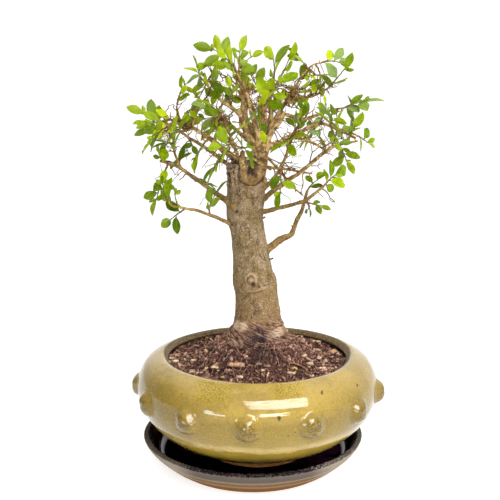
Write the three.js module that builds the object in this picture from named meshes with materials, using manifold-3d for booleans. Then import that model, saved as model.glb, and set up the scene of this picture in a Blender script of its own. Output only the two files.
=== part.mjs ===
// Chinese elm bonsai in a round glazed pot that stands on a drip tray.
// Millimetres, +Z up, and the front of the plant faces -Y.
// The origin is the centre of the tray's flat base.
import * as THREE from 'three';
import { mergeVertices } from 'three/addons/utils/BufferGeometryUtils.js';
import Module from 'manifold-3d';

const wasm = await Module();
wasm.setup();

// Driving dimensions of the tray and the pot
const FACETS = 32;                 // facets round every turned piece
const SEAT_GAP = 0.3;              // clearance where one piece rests in or on another
const TRAY_BASE_RADIUS = 85;
const TRAY_LIP_RADIUS = 114;
const TRAY_HEIGHT = 30;
const TRAY_FLOOR = 10;
const POT_X = 4.5;                 // the pot stands this far right of the tray's centre
const POT_BASE = TRAY_FLOOR + SEAT_GAP;
const POT_FOOT_RADIUS = 50;
const POT_BELLY_RADIUS = 124;
const POT_HEIGHT = 103;
const POT_MOUTH_RADIUS = 92;
const POT_FLOOR = 14;
const DRAIN_RADIUS = 11;
const FOOT_RECESS = 3.5;
const BOSS_COUNT = 13;
const BOSS_RADIUS = 12;
const BOSS_HEIGHT = 8;
const BOSS_LEVEL = 68;             // height of the bosses' centres above the pot's base
const BOSS_FIRST_ANGLE = -4.5;     // degrees from the front, turning to the right
const BOSS_TILT = 8;               // degrees, so that a boss stands square to the shoulder
const FOOT_RING_WIDTH = 10;

// Driving dimensions of the soil and the mesh over the drain hole
const SOIL_EDGE = 93.5;            // height of the soil at the wall, above the pot's base
const SOIL_RINGS = [98, 84, 70, 56, 42, 0];
const SOIL_MOUND = 23;             // the soil is this much higher at the trunk
const MOUND_TOP_RADIUS = 36;
const MOUND_FOOT_RADIUS = 74;
const GRIT_RELIEF = 0.65;
const MESH_SIZE = 34;
const MESH_THICKNESS = 1;
const MESH_HOLE = 8;
const MESH_HOLE_OFFSET = 6.8;

// Driving dimensions of the tree
const TRUNK_SIDES = 16;
const TRUNK_HOLE_GAP = 0.35;       // clearance of the trunk in its hole in the soil
const ROOT_LOBE = 0.1;             // depth of the lobes of the root flare, as a share of its radius
const FLARE_TOP = 152;             // the lobes fade out at this height
const FLARE_FOOT = 124;
const LIMB_SAMPLES_PER_SPAN = 8;
const SAMPLE_SPACING = 2.5;        // along a twig or a leafy stem

// Driving dimensions of the leafy shoots
const SEED = 2026;
const ATTEMPTS = 40;               // tries to find a clear place for a shoot or a leaf
const FIRST_ROOT_SHARE = 0.2;      // no shoot stands nearer to the root of its limb
const TURN_COST = 0.35;            // how much a twig avoids growing back along its limb
const LEAST_REACH = 15;            // shortest way from a limb to the tip of a shoot
const ROOT_SPACING = 6;            // between the roots of two shoots
const LONG_REACH = 26;             // a shoot further than this from its limb stands on a woody twig
const LEAST_TWIG = 2.5;
const TWIG_ROOT_RADIUS = 1.5;
const TWIG_END_RADIUS = 1;
const ROUTE_JITTER = 0.35;         // how far a shoot may set off from the straight way
const ROUTE_BEND = 0.45;           // share of the way at which it turns to its tip
const STEM_RADIUS = 1;             // of the leafy stem at its foot
const STEM_TIP_RADIUS = 0.7;
const SEAT_STEP = 0.1;
const LEAF_SPACING = 4.6;          // distance between leaves along a shoot
const LEAF_LENGTH = 16.5;
const LEAF_LENGTH_SPREAD = 3.8;
const LARGE_LEAF_EXTRA = 4;        // one leaf in five is longer
const LEAF_HALF_WIDTH = 0.3;       // as a share of the leaf's length
const LEAF_THICKNESS = 1.1;        // at the midrib
const LEAF_FOLD = 0.22;            // rise of the two halves from the midrib
const LEAF_ARCH = 0.12;            // droop of the tip, as a share of the leaf's length
const LEAF_ANGLE = 0.75;           // least angle of a leaf to its stem, in radians
const LEAF_ANGLE_RANGE = 0.45;
const LEAF_SWAY = 0.3;             // how far a leaf leans out of the plane of its shoot
const LEAF_TWIST = 0.35;           // how far it turns about its midrib
const CROWN_CENTRE = new THREE.Vector3(5, 0, 315);
const LEAF_CLEARANCE = 4.2;        // between points of leaves of two shoots
const SISTER_CLEARANCE = 2.6;      // between points of leaves of one shoot
const WOOD_CLEARANCE = 2.4;        // between a point of a leaf and a limb's surface
const STEM_CLEARANCE = 1.6;        // between a shoot's stem and other wood or stems
const FOOT_CLEARANCE = 0.5;        // between a short shoot's stem and the limb it stands on

const CERAMIC = { roughness: 0.25, metalness: 0 };
const PLANT = { roughness: 0.75, metalness: 0 };

// The tray's section, from the centre of its base round to the centre of its floor: radius, height
const TRAY_PROFILE = [
  [0, 0], [TRAY_BASE_RADIUS, 0], [95, 7], [106, 17], [112, 24.5], [TRAY_LIP_RADIUS, 28.5],
  [112, TRAY_HEIGHT], [109, TRAY_HEIGHT], [106, 27], [99, 14], [92, TRAY_FLOOR], [0, TRAY_FLOOR],
];

// The outside of the pot, from the foot up and over the rolled rim
const POT_OUTSIDE = [
  [POT_FOOT_RADIUS, 0], [52, 2], [58, 6], [69, 12], [83, 18], [98, 27], [112, 40], [121, 56],
  [POT_BELLY_RADIUS, 73], [121.5, 85], [115, 95.5], [104, 102], [97, POT_HEIGHT],
  [POT_MOUTH_RADIUS, 100],
];

// The inside of the pot, from just under the rim down to the floor
const POT_INSIDE = [
  [95, 95.5], [105, 90.5], [112, 81], [114.5, 68], [110, 51], [97, 36], [72, 21.5], [40, POT_FLOOR],
];

// The trunk's rows from its foot in the soil up to the old cut: height, centre x, half width
const TRUNK_ROWS = [
  [104, 1, 35], [114, 1, 38.5], [122, 1.5, 38], [130, 2, 34], [139, 4.5, 28], [148, 5, 25.2],
  [160, 5, 22.5], [174, 3.8, 21.6], [190, 1.6, 22], [202, -0.3, 20], [218, -2.2, 18.6],
  [238, -5.6, 17.5], [256, -8.5, 18.1], [276, -7.5, 18.8], [293, -6.8, 18.8], [308, -8, 17.4],
];

// The limbs: radius at the root, radius at the tip, and the points of the route
const LIMBS = [
  // Stems that rise from the old cut
  [14, 8.5, [[2, 2, 292], [6, 2, 311], [4, 0, 327], [4, -2, 338]]],
  [6, 1.5, [[3, 0, 322], [-5, -5, 336], [-13, -10, 357], [-33, -16, 372], [-48, -22, 389]]],
  [5.5, 1.5, [[4, 0, 328], [1, 4, 353], [-4, 1, 372], [-12, -4, 388], [-19, -8, 403]]],
  [2.3, 1.1, [[-5, 0, 374], [-17, 8, 386], [-30, 12, 395], [-43, 16, 400]]],
  [4.6, 1.7, [[8, -1, 330], [11, -8, 349], [12, -13, 366], [18, -16, 385]]],
  [5.2, 2, [[10, 0, 320], [17, 8, 341], [27, 10, 360], [42, 4, 378]]],
  [4.6, 1.5, [[8, 4, 324], [13, 20, 341], [18, 34, 359], [9, 46, 377]]],
  [3.8, 1.3, [[0, 3, 326], [-14, 22, 338], [-28, 40, 350], [-38, 58, 358]]],
  [3.8, 1.3, [[8, 4, 318], [26, 24, 328], [46, 44, 338], [66, 62, 344]]],
  [2.2, 1.1, [[10, -8, 348], [8, -30, 354], [6, -56, 360]]],
  // Limbs on the right
  [3.6, 1.2, [[12, 0, 324], [31, -6, 331], [48, -18, 341], [66, -30, 348], [95, -50, 335]]],
  [2, 1, [[40, -10, 335], [58, 4, 329], [73, 14, 321]]],
  [2.6, 1.1, [[27, 10, 358], [50, 6, 352], [72, 1, 359], [90, -4, 363]]],
  [2.4, 1.1, [[38, 6, 374], [47, 10, 392], [58, 14, 404], [68, 17, 407]]],
  [1.5, 0.9, [[47, 10, 391], [60, 0, 394], [80, -12, 394]]],
  [2, 0.9, [[38, 5, 372], [58, -9, 374], [72, -22, 382]]],
  [3.4, 1.3, [[4, 4, 266], [21, 14, 280], [49, 28, 298], [82, 38, 322], [109, 40, 329]]],
  [2.4, 1.2, [[8, -6, 280], [23, -20, 299], [31, -32, 316], [34, -38, 331]]],
  [1.8, 0.9, [[4, -9, 308], [16, -22, 306], [32, -36, 305], [55, -52, 302]]],
  [1.7, 0.9, [[10, 0, 318], [24, 12, 304], [39, 26, 285], [52, 34, 273]]],
  [3.2, 1.4, [[4, -3, 259], [22, -10, 264], [49, -24, 273], [67, -34, 288]]],
  [4.6, 1.8, [[8, 0, 216], [27, 4, 229], [44, 10, 245], [51, 12, 262], [55, 9, 280]]],
  // Limbs on the left
  [2.8, 1, [[-14, -3, 241], [-27, -10, 251], [-52, -24, 263], [-78, -36, 270]]],
  [3.6, 1.3, [[-14, -2, 260], [-31, 0, 274], [-54, 4, 290], [-76, 8, 305], [-94, 12, 310]]],
  [1.6, 0.9, [[-72, 7, 302], [-79, 4, 321], [-79, 0, 334]]],
  [4.6, 1.8, [[-10, 0, 306], [-26, -4, 320], [-45, -12, 335], [-72, -26, 352]]],
  [3, 1.1, [[-14, 6, 298], [-40, 20, 317], [-65, 36, 332], [-92, 50, 348]]],
  [2, 1, [[-60, -19, 343], [-54, -22, 363], [-43, -26, 374]]],
  [1.5, 0.9, [[-69, -24, 349], [-73, -28, 359], [-72, -30, 366]]],
  [3.4, 1.2, [[-12, -6, 304], [-19, -14, 328], [-29, -28, 351]]],
  [2.2, 1.1, [[-19, -13, 326], [-22, -38, 332], [-20, -58, 330]]],
];

// Swollen knobs where stems were cut back: centre, radius
const KNOBS = [
  [[-6, 1, 379], 7.5], [[14, -14, 374], 7], [[37, 6, 372], 8.5], [[-67, -23, 350], 5],
];

// The round scar of a lost limb on the front of the trunk: centre, radius
const TRUNK_SCAR = [[-2, -21.5, 193], 6];

// The leafy shoots: x, y, z of the tip, and the number of leaves
const SHOOTS = [
  // Top, left of the middle
  [-38, -10, 418, 7], [-25, -22, 408, 5], [-13, 6, 416, 5], [-2, 22, 413, 6],
  [-52, -8, 398, 5], [-36, -40, 388, 5], [-4, 40, 400, 5],
  // Left
  [-64, -34, 384, 5], [-54, 26, 374, 5], [-106, -10, 357, 5], [-97, -40, 348, 5],
  [-105, 28, 340, 5], [-92, -58, 334, 5], [-86, -18, 325, 5], [-72, -66, 342, 5],
  [-42, -60, 364, 5], [-50, 42, 352, 5], [-72, 22, 314, 4], [-54, -30, 316, 4],
  [-38, -26, 303, 4], [-28, -72, 328, 3], [-6, -84, 328, 3],
  // Low on the left
  [-48, 26, 286, 4], [-40, -16, 274, 4], [-88, -20, 289, 5], [-74, -46, 282, 4],
  [-98, 8, 272, 5], [-80, -30, 256, 3],
  // Top, right of the middle
  [19, -32, 407, 5], [34, -14, 408, 5], [47, 30, 410, 5], [86, 24, 408, 5],
  [85, -36, 398, 3], [69, 30, 386, 5], [25, -52, 384, 5], [50, 54, 382, 5],
  // Right
  [108, -10, 369, 6], [102, 28, 359, 5], [72, -54, 356, 6], [92, -60, 344, 5],
  [110, -22, 330, 3], [68, 32, 333, 4], [32, -64, 330, 4], [7, -86, 366, 5],
  [44, -72, 356, 5], [80, -18, 298, 6], [98, 44, 309, 5], [26, -38, 284, 3], [66, 20, 290, 3],
  // Back
  [-20, 72, 380, 5], [48, 82, 364, 5], [10, 90, 342, 5], [-40, 84, 338, 5],
  [64, 86, 332, 5], [90, 58, 348, 5],
];

// The edge of a leaf from its stalk to its last tooth: share of the length, share of the half width
const LEAF_EDGE = [[0.12, 0.1], [0.32, 0.9], [0.53, 1], [0.61, 0.88], [0.82, 0.62]];
const STALK_WIDTH = 1.3;           // of the leaf's stalk where it leaves the stem
const MIDRIB_PEAK = 0.48;          // the thickest place, as a share of the length

// Repeatable random numbers from 0 to 1
function seededRandom(seed) {
  let state = seed >>> 0;
  return () => {
    state = (state + 0x6d2b79f5) >>> 0;
    let mix = Math.imul(state ^ (state >>> 15), state | 1);
    mix ^= mix + Math.imul(mix ^ (mix >>> 7), mix | 61);
    return ((mix ^ (mix >>> 14)) >>> 0) / 4294967296;
  };
}

const random = seededRandom(SEED);

function spread(amount) {
  return (random() * 2 - 1) * amount;
}

function anyVector(amount) {
  return new THREE.Vector3(spread(amount), spread(amount), spread(amount));
}

// A closed geometry as a solid that can be cut and joined
function toSolid(geometry) {
  const bare = geometry.clone();
  bare.deleteAttribute('normal');
  bare.deleteAttribute('uv');
  const merged = mergeVertices(bare, 1e-4);
  const index = merged.index.array;
  const triangles = [];
  for (let i = 0; i < index.length; i += 3) {
    const [a, b, c] = [index[i], index[i + 1], index[i + 2]];
    if (a !== b && b !== c && c !== a) {
      triangles.push(a, b, c);
    }
  }
  return new wasm.Manifold(new wasm.Mesh({
    numProp: 3,
    vertProperties: Float32Array.from(merged.attributes.position.array),
    triVerts: Uint32Array.from(triangles),
  }));
}

function toGeometry(solid) {
  const mesh = solid.getMesh();
  const geometry = new THREE.BufferGeometry();
  geometry.setAttribute('position', new THREE.BufferAttribute(mesh.vertProperties, 3));
  geometry.setIndex(new THREE.BufferAttribute(mesh.triVerts, 1));
  geometry.computeVertexNormals();
  return geometry;
}

function joinAll(solids) {
  return wasm.Manifold.union(solids);
}

// Moves every vertex of a geometry by a rule
function reshape(geometry, rule) {
  const position = geometry.attributes.position;
  const vertex = new THREE.Vector3();
  for (let i = 0; i < position.count; i += 1) {
    vertex.fromBufferAttribute(position, i);
    const moved = rule(vertex);
    position.setXYZ(i, moved.x, moved.y, moved.z);
  }
  return geometry;
}

// A piece turned on a wheel, from a section of radii and heights, with its axis along +Z
function turned(profile) {
  const points = profile.map(([radius, height]) => new THREE.Vector2(radius, height));
  return new THREE.LatheGeometry(points, FACETS).rotateX(Math.PI / 2);
}

// A section moved inwards by a gap, along the bisectors of its corners
function inset(profile, gap) {
  return profile.map(([radius, height], i) => {
    const before = profile[Math.max(i - 1, 0)];
    const after = profile[Math.min(i + 1, profile.length - 1)];
    const run = new THREE.Vector2(after[0] - before[0], after[1] - before[1]).normalize();
    return [radius + run.y * gap, height - run.x * gap];
  });
}

function namedMesh(name, geometry, material) {
  const mesh = new THREE.Mesh(geometry, material);
  mesh.name = name;
  return mesh;
}

// The tray
function makeTray() {
  return toGeometry(toSolid(turned(TRAY_PROFILE)));
}

// The pot, with a ring of bosses that were pressed out of its shoulder
function makeBoss(index) {
  const angle = THREE.MathUtils.degToRad(BOSS_FIRST_ANGLE + (index * 360) / BOSS_COUNT);
  const dome = new THREE.SphereGeometry(1, 6, 4);
  dome.scale(BOSS_RADIUS, BOSS_HEIGHT, BOSS_RADIUS);
  dome.rotateX(THREE.MathUtils.degToRad(BOSS_TILT));
  dome.translate(0, -POT_BELLY_RADIUS + 1, BOSS_LEVEL);
  dome.rotateZ(angle);
  return toSolid(dome);
}

function makePot() {
  const underside = [
    [DRAIN_RADIUS, POT_FLOOR], [DRAIN_RADIUS, FOOT_RECESS],
    [POT_FOOT_RADIUS - FOOT_RING_WIDTH, FOOT_RECESS], [POT_FOOT_RADIUS - FOOT_RING_WIDTH + 1, 0],
  ];
  const section = [...POT_OUTSIDE, ...POT_INSIDE, ...underside, POT_OUTSIDE[0]];
  const solids = [toSolid(turned(section))];
  for (let index = 0; index < BOSS_COUNT; index += 1) {
    solids.push(makeBoss(index));
  }
  return toGeometry(joinAll(solids));
}

// The square plastic mesh that keeps the soil off the drain hole
function makeMesh() {
  let plate = toSolid(new THREE.BoxGeometry(MESH_SIZE, MESH_SIZE, MESH_THICKNESS));
  for (const x of [-1, 1]) {
    for (const y of [-1, 1]) {
      const hole = new THREE.BoxGeometry(MESH_HOLE, MESH_HOLE, 2 * MESH_THICKNESS);
      hole.translate(x * MESH_HOLE_OFFSET, y * MESH_HOLE_OFFSET, 0);
      plate = plate.subtract(toSolid(hole));
    }
  }
  return toGeometry(plate);
}

// The soil fills the pot, and rises to the trunk in a mound of coarse grit
function soilHeight(x, y) {
  const radius = Math.hypot(x, y);
  const rise = 1 - THREE.MathUtils.smoothstep(radius, MOUND_TOP_RADIUS, MOUND_FOOT_RADIUS);
  const grit = Math.sin(x * 0.41 + y * 0.13) + Math.sin(y * 0.37 - x * 0.19) + Math.sin(x * 0.23 + y * 0.29);
  return SOIL_EDGE + SOIL_MOUND * rise + GRIT_RELIEF * grit;
}

function makeSoil() {
  const overMesh = POT_FLOOR + MESH_THICKNESS + 2 * SEAT_GAP;
  const meshCorner = MESH_SIZE / Math.SQRT2 + SEAT_GAP;
  const under = [[0, overMesh], [meshCorner, overMesh], [meshCorner + 1, POT_FLOOR + SEAT_GAP]];
  const wall = inset(POT_INSIDE, SEAT_GAP).filter(([, height]) => height < SOIL_EDGE - 1).reverse();
  const top = SOIL_RINGS.map((radius) => [radius, SOIL_EDGE]);
  const geometry = turned([...under, ...wall, ...top]);
  return reshape(geometry, (vertex) => {
    const onTop = vertex.z > SOIL_EDGE - 0.1;
    const atEdge = Math.hypot(vertex.x, vertex.y) > SOIL_RINGS[0] - 1;
    return onTop && !atEdge ? vertex.setZ(soilHeight(vertex.x, vertex.y)) : vertex;
  });
}

// The trunk as a bent, lobed column. Grown by a gap, it is the shape of its hole in the soil.
function trunkRadius(row, angle, grow) {
  const [height, , halfWidth] = TRUNK_ROWS[row];
  const flare = 1 - THREE.MathUtils.smoothstep(height, FLARE_FOOT, FLARE_TOP);
  const lobes = Math.cos(5 * angle + 0.6) + 0.6 * Math.cos(3 * angle - 1.1);
  return halfWidth * (1 + ROOT_LOBE * flare * lobes) + grow;
}

function makeTrunk(grow) {
  const lastRow = TRUNK_ROWS.length - 1;
  const column = new THREE.CylinderGeometry(1, 1, 1, TRUNK_SIDES, lastRow).rotateX(Math.PI / 2);
  return reshape(column, (vertex) => {
    const row = Math.round((vertex.z + 0.5) * lastRow);
    const [height, centreX] = TRUNK_ROWS[row];
    const angle = Math.atan2(vertex.y, vertex.x);
    const radius = Math.hypot(vertex.x, vertex.y) * trunkRadius(row, angle, grow);
    const drop = row === 0 ? grow : 0;
    return vertex.set(centreX + radius * Math.cos(angle), radius * Math.sin(angle), height - drop);
  });
}

// A tapering stem along a curve, between two values of its parameter
function makeStem(curve, fromT, toT, fromRadius, toRadius, sides, steps) {
  const chord = curve.getPoint(toT).sub(curve.getPoint(fromT));
  const sizes = [Math.abs(chord.x), Math.abs(chord.y), Math.abs(chord.z)];
  const least = sizes.indexOf(Math.min(...sizes));
  const reference = new THREE.Vector3().setComponent(least, 1);
  const column = new THREE.CylinderGeometry(1, 1, 1, sides, steps).rotateX(Math.PI / 2);
  return reshape(column, (vertex) => {
    const share = vertex.z + 0.5;
    const t = fromT + (toT - fromT) * share;
    const tangent = curve.getTangent(t);
    const across = new THREE.Vector3().crossVectors(reference, tangent).normalize();
    const up = new THREE.Vector3().crossVectors(tangent, across);
    const radius = fromRadius + (toRadius - fromRadius) * share;
    const centre = curve.getPoint(t);
    return centre.addScaledVector(across, vertex.x * radius).addScaledVector(up, vertex.y * radius);
  });
}

function sidesFor(radius) {
  return radius > 6.5 ? 8 : radius > 4 ? 6 : radius > 2.5 ? 5 : 4;
}

// Limbs as curves, and points along them that later growth keeps clear of
function growLimbs() {
  return LIMBS.map(([rootRadius, tipRadius, points]) => {
    const curve = new THREE.CatmullRomCurve3(
      points.map(([x, y, z]) => new THREE.Vector3(x, y, z)), false, 'catmullrom', 0.5,
    );
    return { curve, rootRadius, tipRadius, spans: points.length - 1 };
  });
}

function sampleLimb(limb) {
  const count = limb.spans * LIMB_SAMPLES_PER_SPAN;
  const samples = [];
  for (let i = 0; i <= count; i += 1) {
    const t = i / count;
    const radius = limb.rootRadius + (limb.tipRadius - limb.rootRadius) * t;
    samples.push({ t, radius, point: limb.curve.getPoint(t), tangent: limb.curve.getTangent(t) });
  }
  return samples;
}

// Points down the middle of the trunk, each with the trunk's radius there
function sampleTrunk() {
  return TRUNK_ROWS.map(([height, x, halfWidth]) => (
    { radius: halfWidth, point: new THREE.Vector3(x, 0, height) }
  ));
}

// The place on a limb that a shoot grows from: near its tip, not far back along the limb,
// and not beside another shoot
function rootFor(tip, limbSamples, routes) {
  let best = null;
  let bestCost = Infinity;
  for (const sample of limbSamples) {
    const reach = tip.clone().sub(sample.point);
    const distance = reach.length();
    const turn = 1 - sample.tangent.dot(reach) / distance;
    const cost = distance * (1 + TURN_COST * turn);
    const isFree = routes.every(({ root }) => root.point.distanceTo(sample.point) > ROOT_SPACING);
    const isFarEnough = sample.t > FIRST_ROOT_SHARE && distance > LEAST_REACH;
    if (isFarEnough && isFree && cost < bestCost) {
      best = sample;
      bestCost = cost;
    }
  }
  return best;
}

function sampleCurve(curve, fromT, toT, radius) {
  const samples = [];
  const count = Math.ceil((curve.getLength() * (toT - fromT)) / SAMPLE_SPACING);
  for (let i = 0; i <= count; i += 1) {
    samples.push({ radius, point: curve.getPoint(fromT + ((toT - fromT) * i) / count) });
  }
  return samples;
}

function isClear(points, obstacles, clearance) {
  return points.every((mine) => obstacles.every((other) => (
    mine.point.distanceTo(other.point) > mine.radius + other.radius + clearance
  )));
}

// Where a short shoot's stem starts, just clear of the surface of its limb
function stemFoot(curve, root, distance) {
  const clear = root.radius + SEAT_GAP + STEM_RADIUS / 2;
  for (let t = 0; t < 1; t += SEAT_STEP / distance) {
    const out = curve.getPoint(t).sub(root.point);
    const along = out.dot(root.tangent);
    const aside = Math.sqrt(Math.max(out.lengthSq() - along * along, 0));
    const pastTheEnd = root.t === 1 && along > SEAT_GAP + STEM_RADIUS / 2;
    if (aside > clear || pastTheEnd) {
      return t;
    }
  }
  return 1;
}

// The route of one shoot from its limb. A long one starts with a woody twig, which ends short of it.
function growRoute([x, y, z, leaves], limbSamples, wood, routes) {
  const tip = new THREE.Vector3(x, y, z);
  const root = rootFor(tip, limbSamples, routes);
  const stems = routes.flatMap(({ stem }) => stem);
  const reach = tip.clone().sub(root.point);
  const distance = reach.length();
  const straight = reach.normalize();
  const isLong = distance > LONG_REACH;
  const nearby = isLong ? [] : wood.filter(({ point }) => point.distanceTo(root.point) < distance / 2);
  const obstacles = wood.filter((sample) => !nearby.includes(sample));
  for (let attempt = 0; attempt < ATTEMPTS; attempt += 1) {
    const start = root.tangent.clone().multiplyScalar(0.4).addScaledVector(straight, 0.8);
    start.add(anyVector(ROUTE_JITTER)).normalize();
    const bend = root.point.clone().addScaledVector(start, distance * ROUTE_BEND);
    const curve = new THREE.QuadraticBezierCurve3(root.point, bend, tip);
    const foot = stemFoot(curve, root, distance);
    const leastTwig = foot + (root.radius + LEAST_TWIG) / distance;
    const split = isLong ? Math.max(1 - (LEAF_SPACING * leaves) / distance, leastTwig) : foot;
    const stemFrom = isLong ? split + SEAT_GAP / distance : foot;
    const route = { curve, root, isLong, split, stemFrom, leaves, tip, distance };
    route.stem = sampleCurve(curve, stemFrom, 1, STEM_RADIUS);
    route.twig = isLong ? sampleCurve(curve, 0, split, TWIG_END_RADIUS) : [];
    if (isClear(route.stem, obstacles, STEM_CLEARANCE)
        && isClear(route.stem.slice(2), nearby, FOOT_CLEARANCE)
        && isClear(route.stem, stems, STEM_CLEARANCE)
        && isClear(route.twig, stems, STEM_CLEARANCE)) {
      return route;
    }
  }
  return null;
}

// Which way the leaves of one shoot face: outwards, upwards and a little at random
function growFacing(route) {
  const outward = route.tip.clone().sub(CROWN_CENTRE).setZ(0).normalize();
  const facing = outward.add(new THREE.Vector3(0, 0, 1));
  return facing.add(new THREE.Vector3(spread(2), spread(2), spread(0.9))).normalize();
}

// The axes of a shoot at one place: along the stem, to its side, and towards its upper face
function stemAxes(route, t) {
  const heading = route.curve.getTangent(t);
  const sideways = new THREE.Vector3().crossVectors(heading, route.facing).normalize();
  const upward = new THREE.Vector3().crossVectors(sideways, heading);
  return { heading, sideways, upward };
}

// One leaf: where it starts, its own axes and its size. Side is 1 or -1, and 0 for the end leaf.
function growLeaf(route, index, side) {
  const share = side === 0 ? 1 : (index + 0.7) / route.leaves;
  const t = route.stemFrom + (1 - route.stemFrom) * share;
  const { heading, sideways, upward } = stemAxes(route, t);
  const angle = side === 0 ? spread(LEAF_SWAY) : side * (LEAF_ANGLE + random() * LEAF_ANGLE_RANGE);
  const along = heading.multiplyScalar(Math.cos(angle)).addScaledVector(sideways, Math.sin(angle));
  along.addScaledVector(upward, spread(LEAF_SWAY)).normalize();
  upward.add(anyVector(LEAF_TWIST));
  const across = new THREE.Vector3().crossVectors(along, upward).normalize();
  const up = new THREE.Vector3().crossVectors(across, along);
  const length = LEAF_LENGTH + spread(LEAF_LENGTH_SPREAD) + (random() > 0.8 ? LARGE_LEAF_EXTRA : 0);
  return { t, side, base: route.curve.getPoint(t), along, across, up, length };
}

// A point of the blade: share of the length, share of the half width, and height off the blade
function bladePoint(leaf, lengthShare, widthShare, lift) {
  const width = widthShare * LEAF_HALF_WIDTH * leaf.length;
  const height = lift + LEAF_FOLD * Math.abs(width) - LEAF_ARCH * lengthShare ** 2 * leaf.length;
  return leaf.base.clone()
    .addScaledVector(leaf.along, lengthShare * leaf.length)
    .addScaledVector(leaf.across, width)
    .addScaledVector(leaf.up, height);
}

function sampleLeaf(leaf) {
  const samples = [];
  for (const lengthShare of [0.3, 0.5, 0.7, 0.9]) {
    for (const widthShare of lengthShare < 0.8 ? [-0.8, 0, 0.8] : [-0.4, 0.4]) {
      samples.push({ radius: 0, point: bladePoint(leaf, lengthShare, widthShare, 0) });
    }
  }
  samples.push({ radius: 0, point: bladePoint(leaf, 1, 0, 0) });
  return samples;
}

// The leaves of one shoot, in two ranks. A leaf that finds no clear place is left out.
function growLeaves(route, wood, otherStems, otherLeaves) {
  const leaves = [];
  const ownPoints = [];
  for (let index = 0; index < route.leaves; index += 1) {
    const side = index === route.leaves - 1 ? 0 : 1 - 2 * (index % 2);
    for (let attempt = 0; attempt < ATTEMPTS; attempt += 1) {
      const leaf = growLeaf(route, index, side);
      const points = sampleLeaf(leaf);
      if (isClear(points, wood, WOOD_CLEARANCE)
          && isClear(points, otherStems, WOOD_CLEARANCE)
          && isClear(points, otherLeaves, LEAF_CLEARANCE)
          && isClear(points, ownPoints, SISTER_CLEARANCE)) {
        leaves.push(leaf);
        ownPoints.push(...points);
        break;
      }
    }
  }
  return { leaves, points: ownPoints };
}

// A spray is one closed skin: a three-sided stem, with each leaf drawn out of one of its faces.
// A blade has a sharp, toothed edge, is thickest at the midrib, and stands on a short stalk.
// The corners of a ring are the ridge of the stem, its right underside and its left underside.
function addRing(spray, route, t) {
  const { sideways, upward } = stemAxes(route, t);
  const share = (t - route.stemFrom) / (1 - route.stemFrom);
  const radius = STEM_RADIUS + (STEM_TIP_RADIUS - STEM_RADIUS) * share;
  return [90, -30, 210].map((degrees) => {
    const angle = THREE.MathUtils.degToRad(degrees);
    const corner = route.curve.getPoint(t);
    corner.addScaledVector(sideways, radius * Math.cos(angle));
    corner.addScaledVector(upward, radius * Math.sin(angle));
    return spray.points.push(corner) - 1;
  });
}

function addBand(spray, low, high, openFace) {
  for (let face = 0; face < 3; face += 1) {
    const next = (face + 1) % 3;
    if (face !== openFace) {
      spray.faces.push([low[face], low[next], high[next]], [low[face], high[next], high[face]]);
    }
  }
}

function addLeaf(spray, leaf, [rightTop, rightUnder, leftTop, leftUnder]) {
  const addPoint = (...place) => spray.points.push(bladePoint(leaf, ...place)) - 1;
  const peakTop = addPoint(MIDRIB_PEAK, 0, LEAF_THICKNESS / 2);
  const peakUnder = addPoint(MIDRIB_PEAK, 0, -LEAF_THICKNESS / 2);
  const right = LEAF_EDGE.map(([lengthShare, widthShare]) => addPoint(lengthShare, widthShare, 0));
  const left = LEAF_EDGE.map(([lengthShare, widthShare]) => addPoint(lengthShare, -widthShare, 0));
  const rim = [...right, addPoint(1, 0, 0), ...left.slice().reverse()];
  const overTop = [leftTop, rightTop, ...rim, leftTop];
  const underneath = [leftUnder, rightUnder, ...rim, leftUnder];
  for (let i = 0; i < overTop.length - 1; i += 1) {
    spray.faces.push([peakTop, overTop[i], overTop[i + 1]]);
    spray.faces.push([peakUnder, underneath[i + 1], underneath[i]]);
  }
  spray.faces.push([rightTop, rightUnder, right[0]], [leftUnder, leftTop, left[0]]);
}

function makeSpray(route, leaves, foot) {
  const spray = { points: [], faces: [] };
  const halfStalk = STALK_WIDTH / 2 / route.distance;
  let low = addRing(spray, route, foot);
  spray.faces.push([low[0], low[2], low[1]]);
  for (const leaf of leaves.filter(({ side }) => side !== 0)) {
    const near = addRing(spray, route, leaf.t - halfStalk);
    const far = addRing(spray, route, leaf.t + halfStalk);
    addBand(spray, low, near);
    addBand(spray, near, far, leaf.side > 0 ? 0 : 2);
    const rightFace = [near[0], near[1], far[0], far[1]];
    const leftFace = [far[0], far[2], near[0], near[2]];
    addLeaf(spray, leaf, leaf.side > 0 ? rightFace : leftFace);
    low = far;
  }
  const end = addRing(spray, route, 1);
  addBand(spray, low, end);
  const endLeaf = leaves.find(({ side }) => side === 0);
  if (endLeaf) {
    addLeaf(spray, endLeaf, [end[0], end[1], end[0], end[2]]);
  } else {
    spray.faces.push([end[0], end[1], end[2]]);
  }
  const geometry = new THREE.BufferGeometry().setFromPoints(spray.points);
  geometry.setIndex(spray.faces.flat());
  return toSolid(geometry);
}

// The foot of a shoot is drawn back along its route until it all but touches the wood
function seatSpray(route, leaves, wood) {
  let foot = route.stemFrom;
  let spray = makeSpray(route, leaves, foot);
  while (foot > 0 && spray.minGap(wood, 2 * LEAST_TWIG) > SEAT_GAP + SEAT_STEP) {
    foot -= SEAT_STEP / route.distance;
    spray = makeSpray(route, leaves, foot);
  }
  return spray;
}

// The wood: trunk, limbs, knobs and twigs, grown as one piece
function makeKnob([[x, y, z], radius]) {
  const lump = new THREE.OctahedronGeometry(radius, 1);
  return toSolid(lump.scale(1, 1, 0.85).translate(x, y, z));
}

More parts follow.
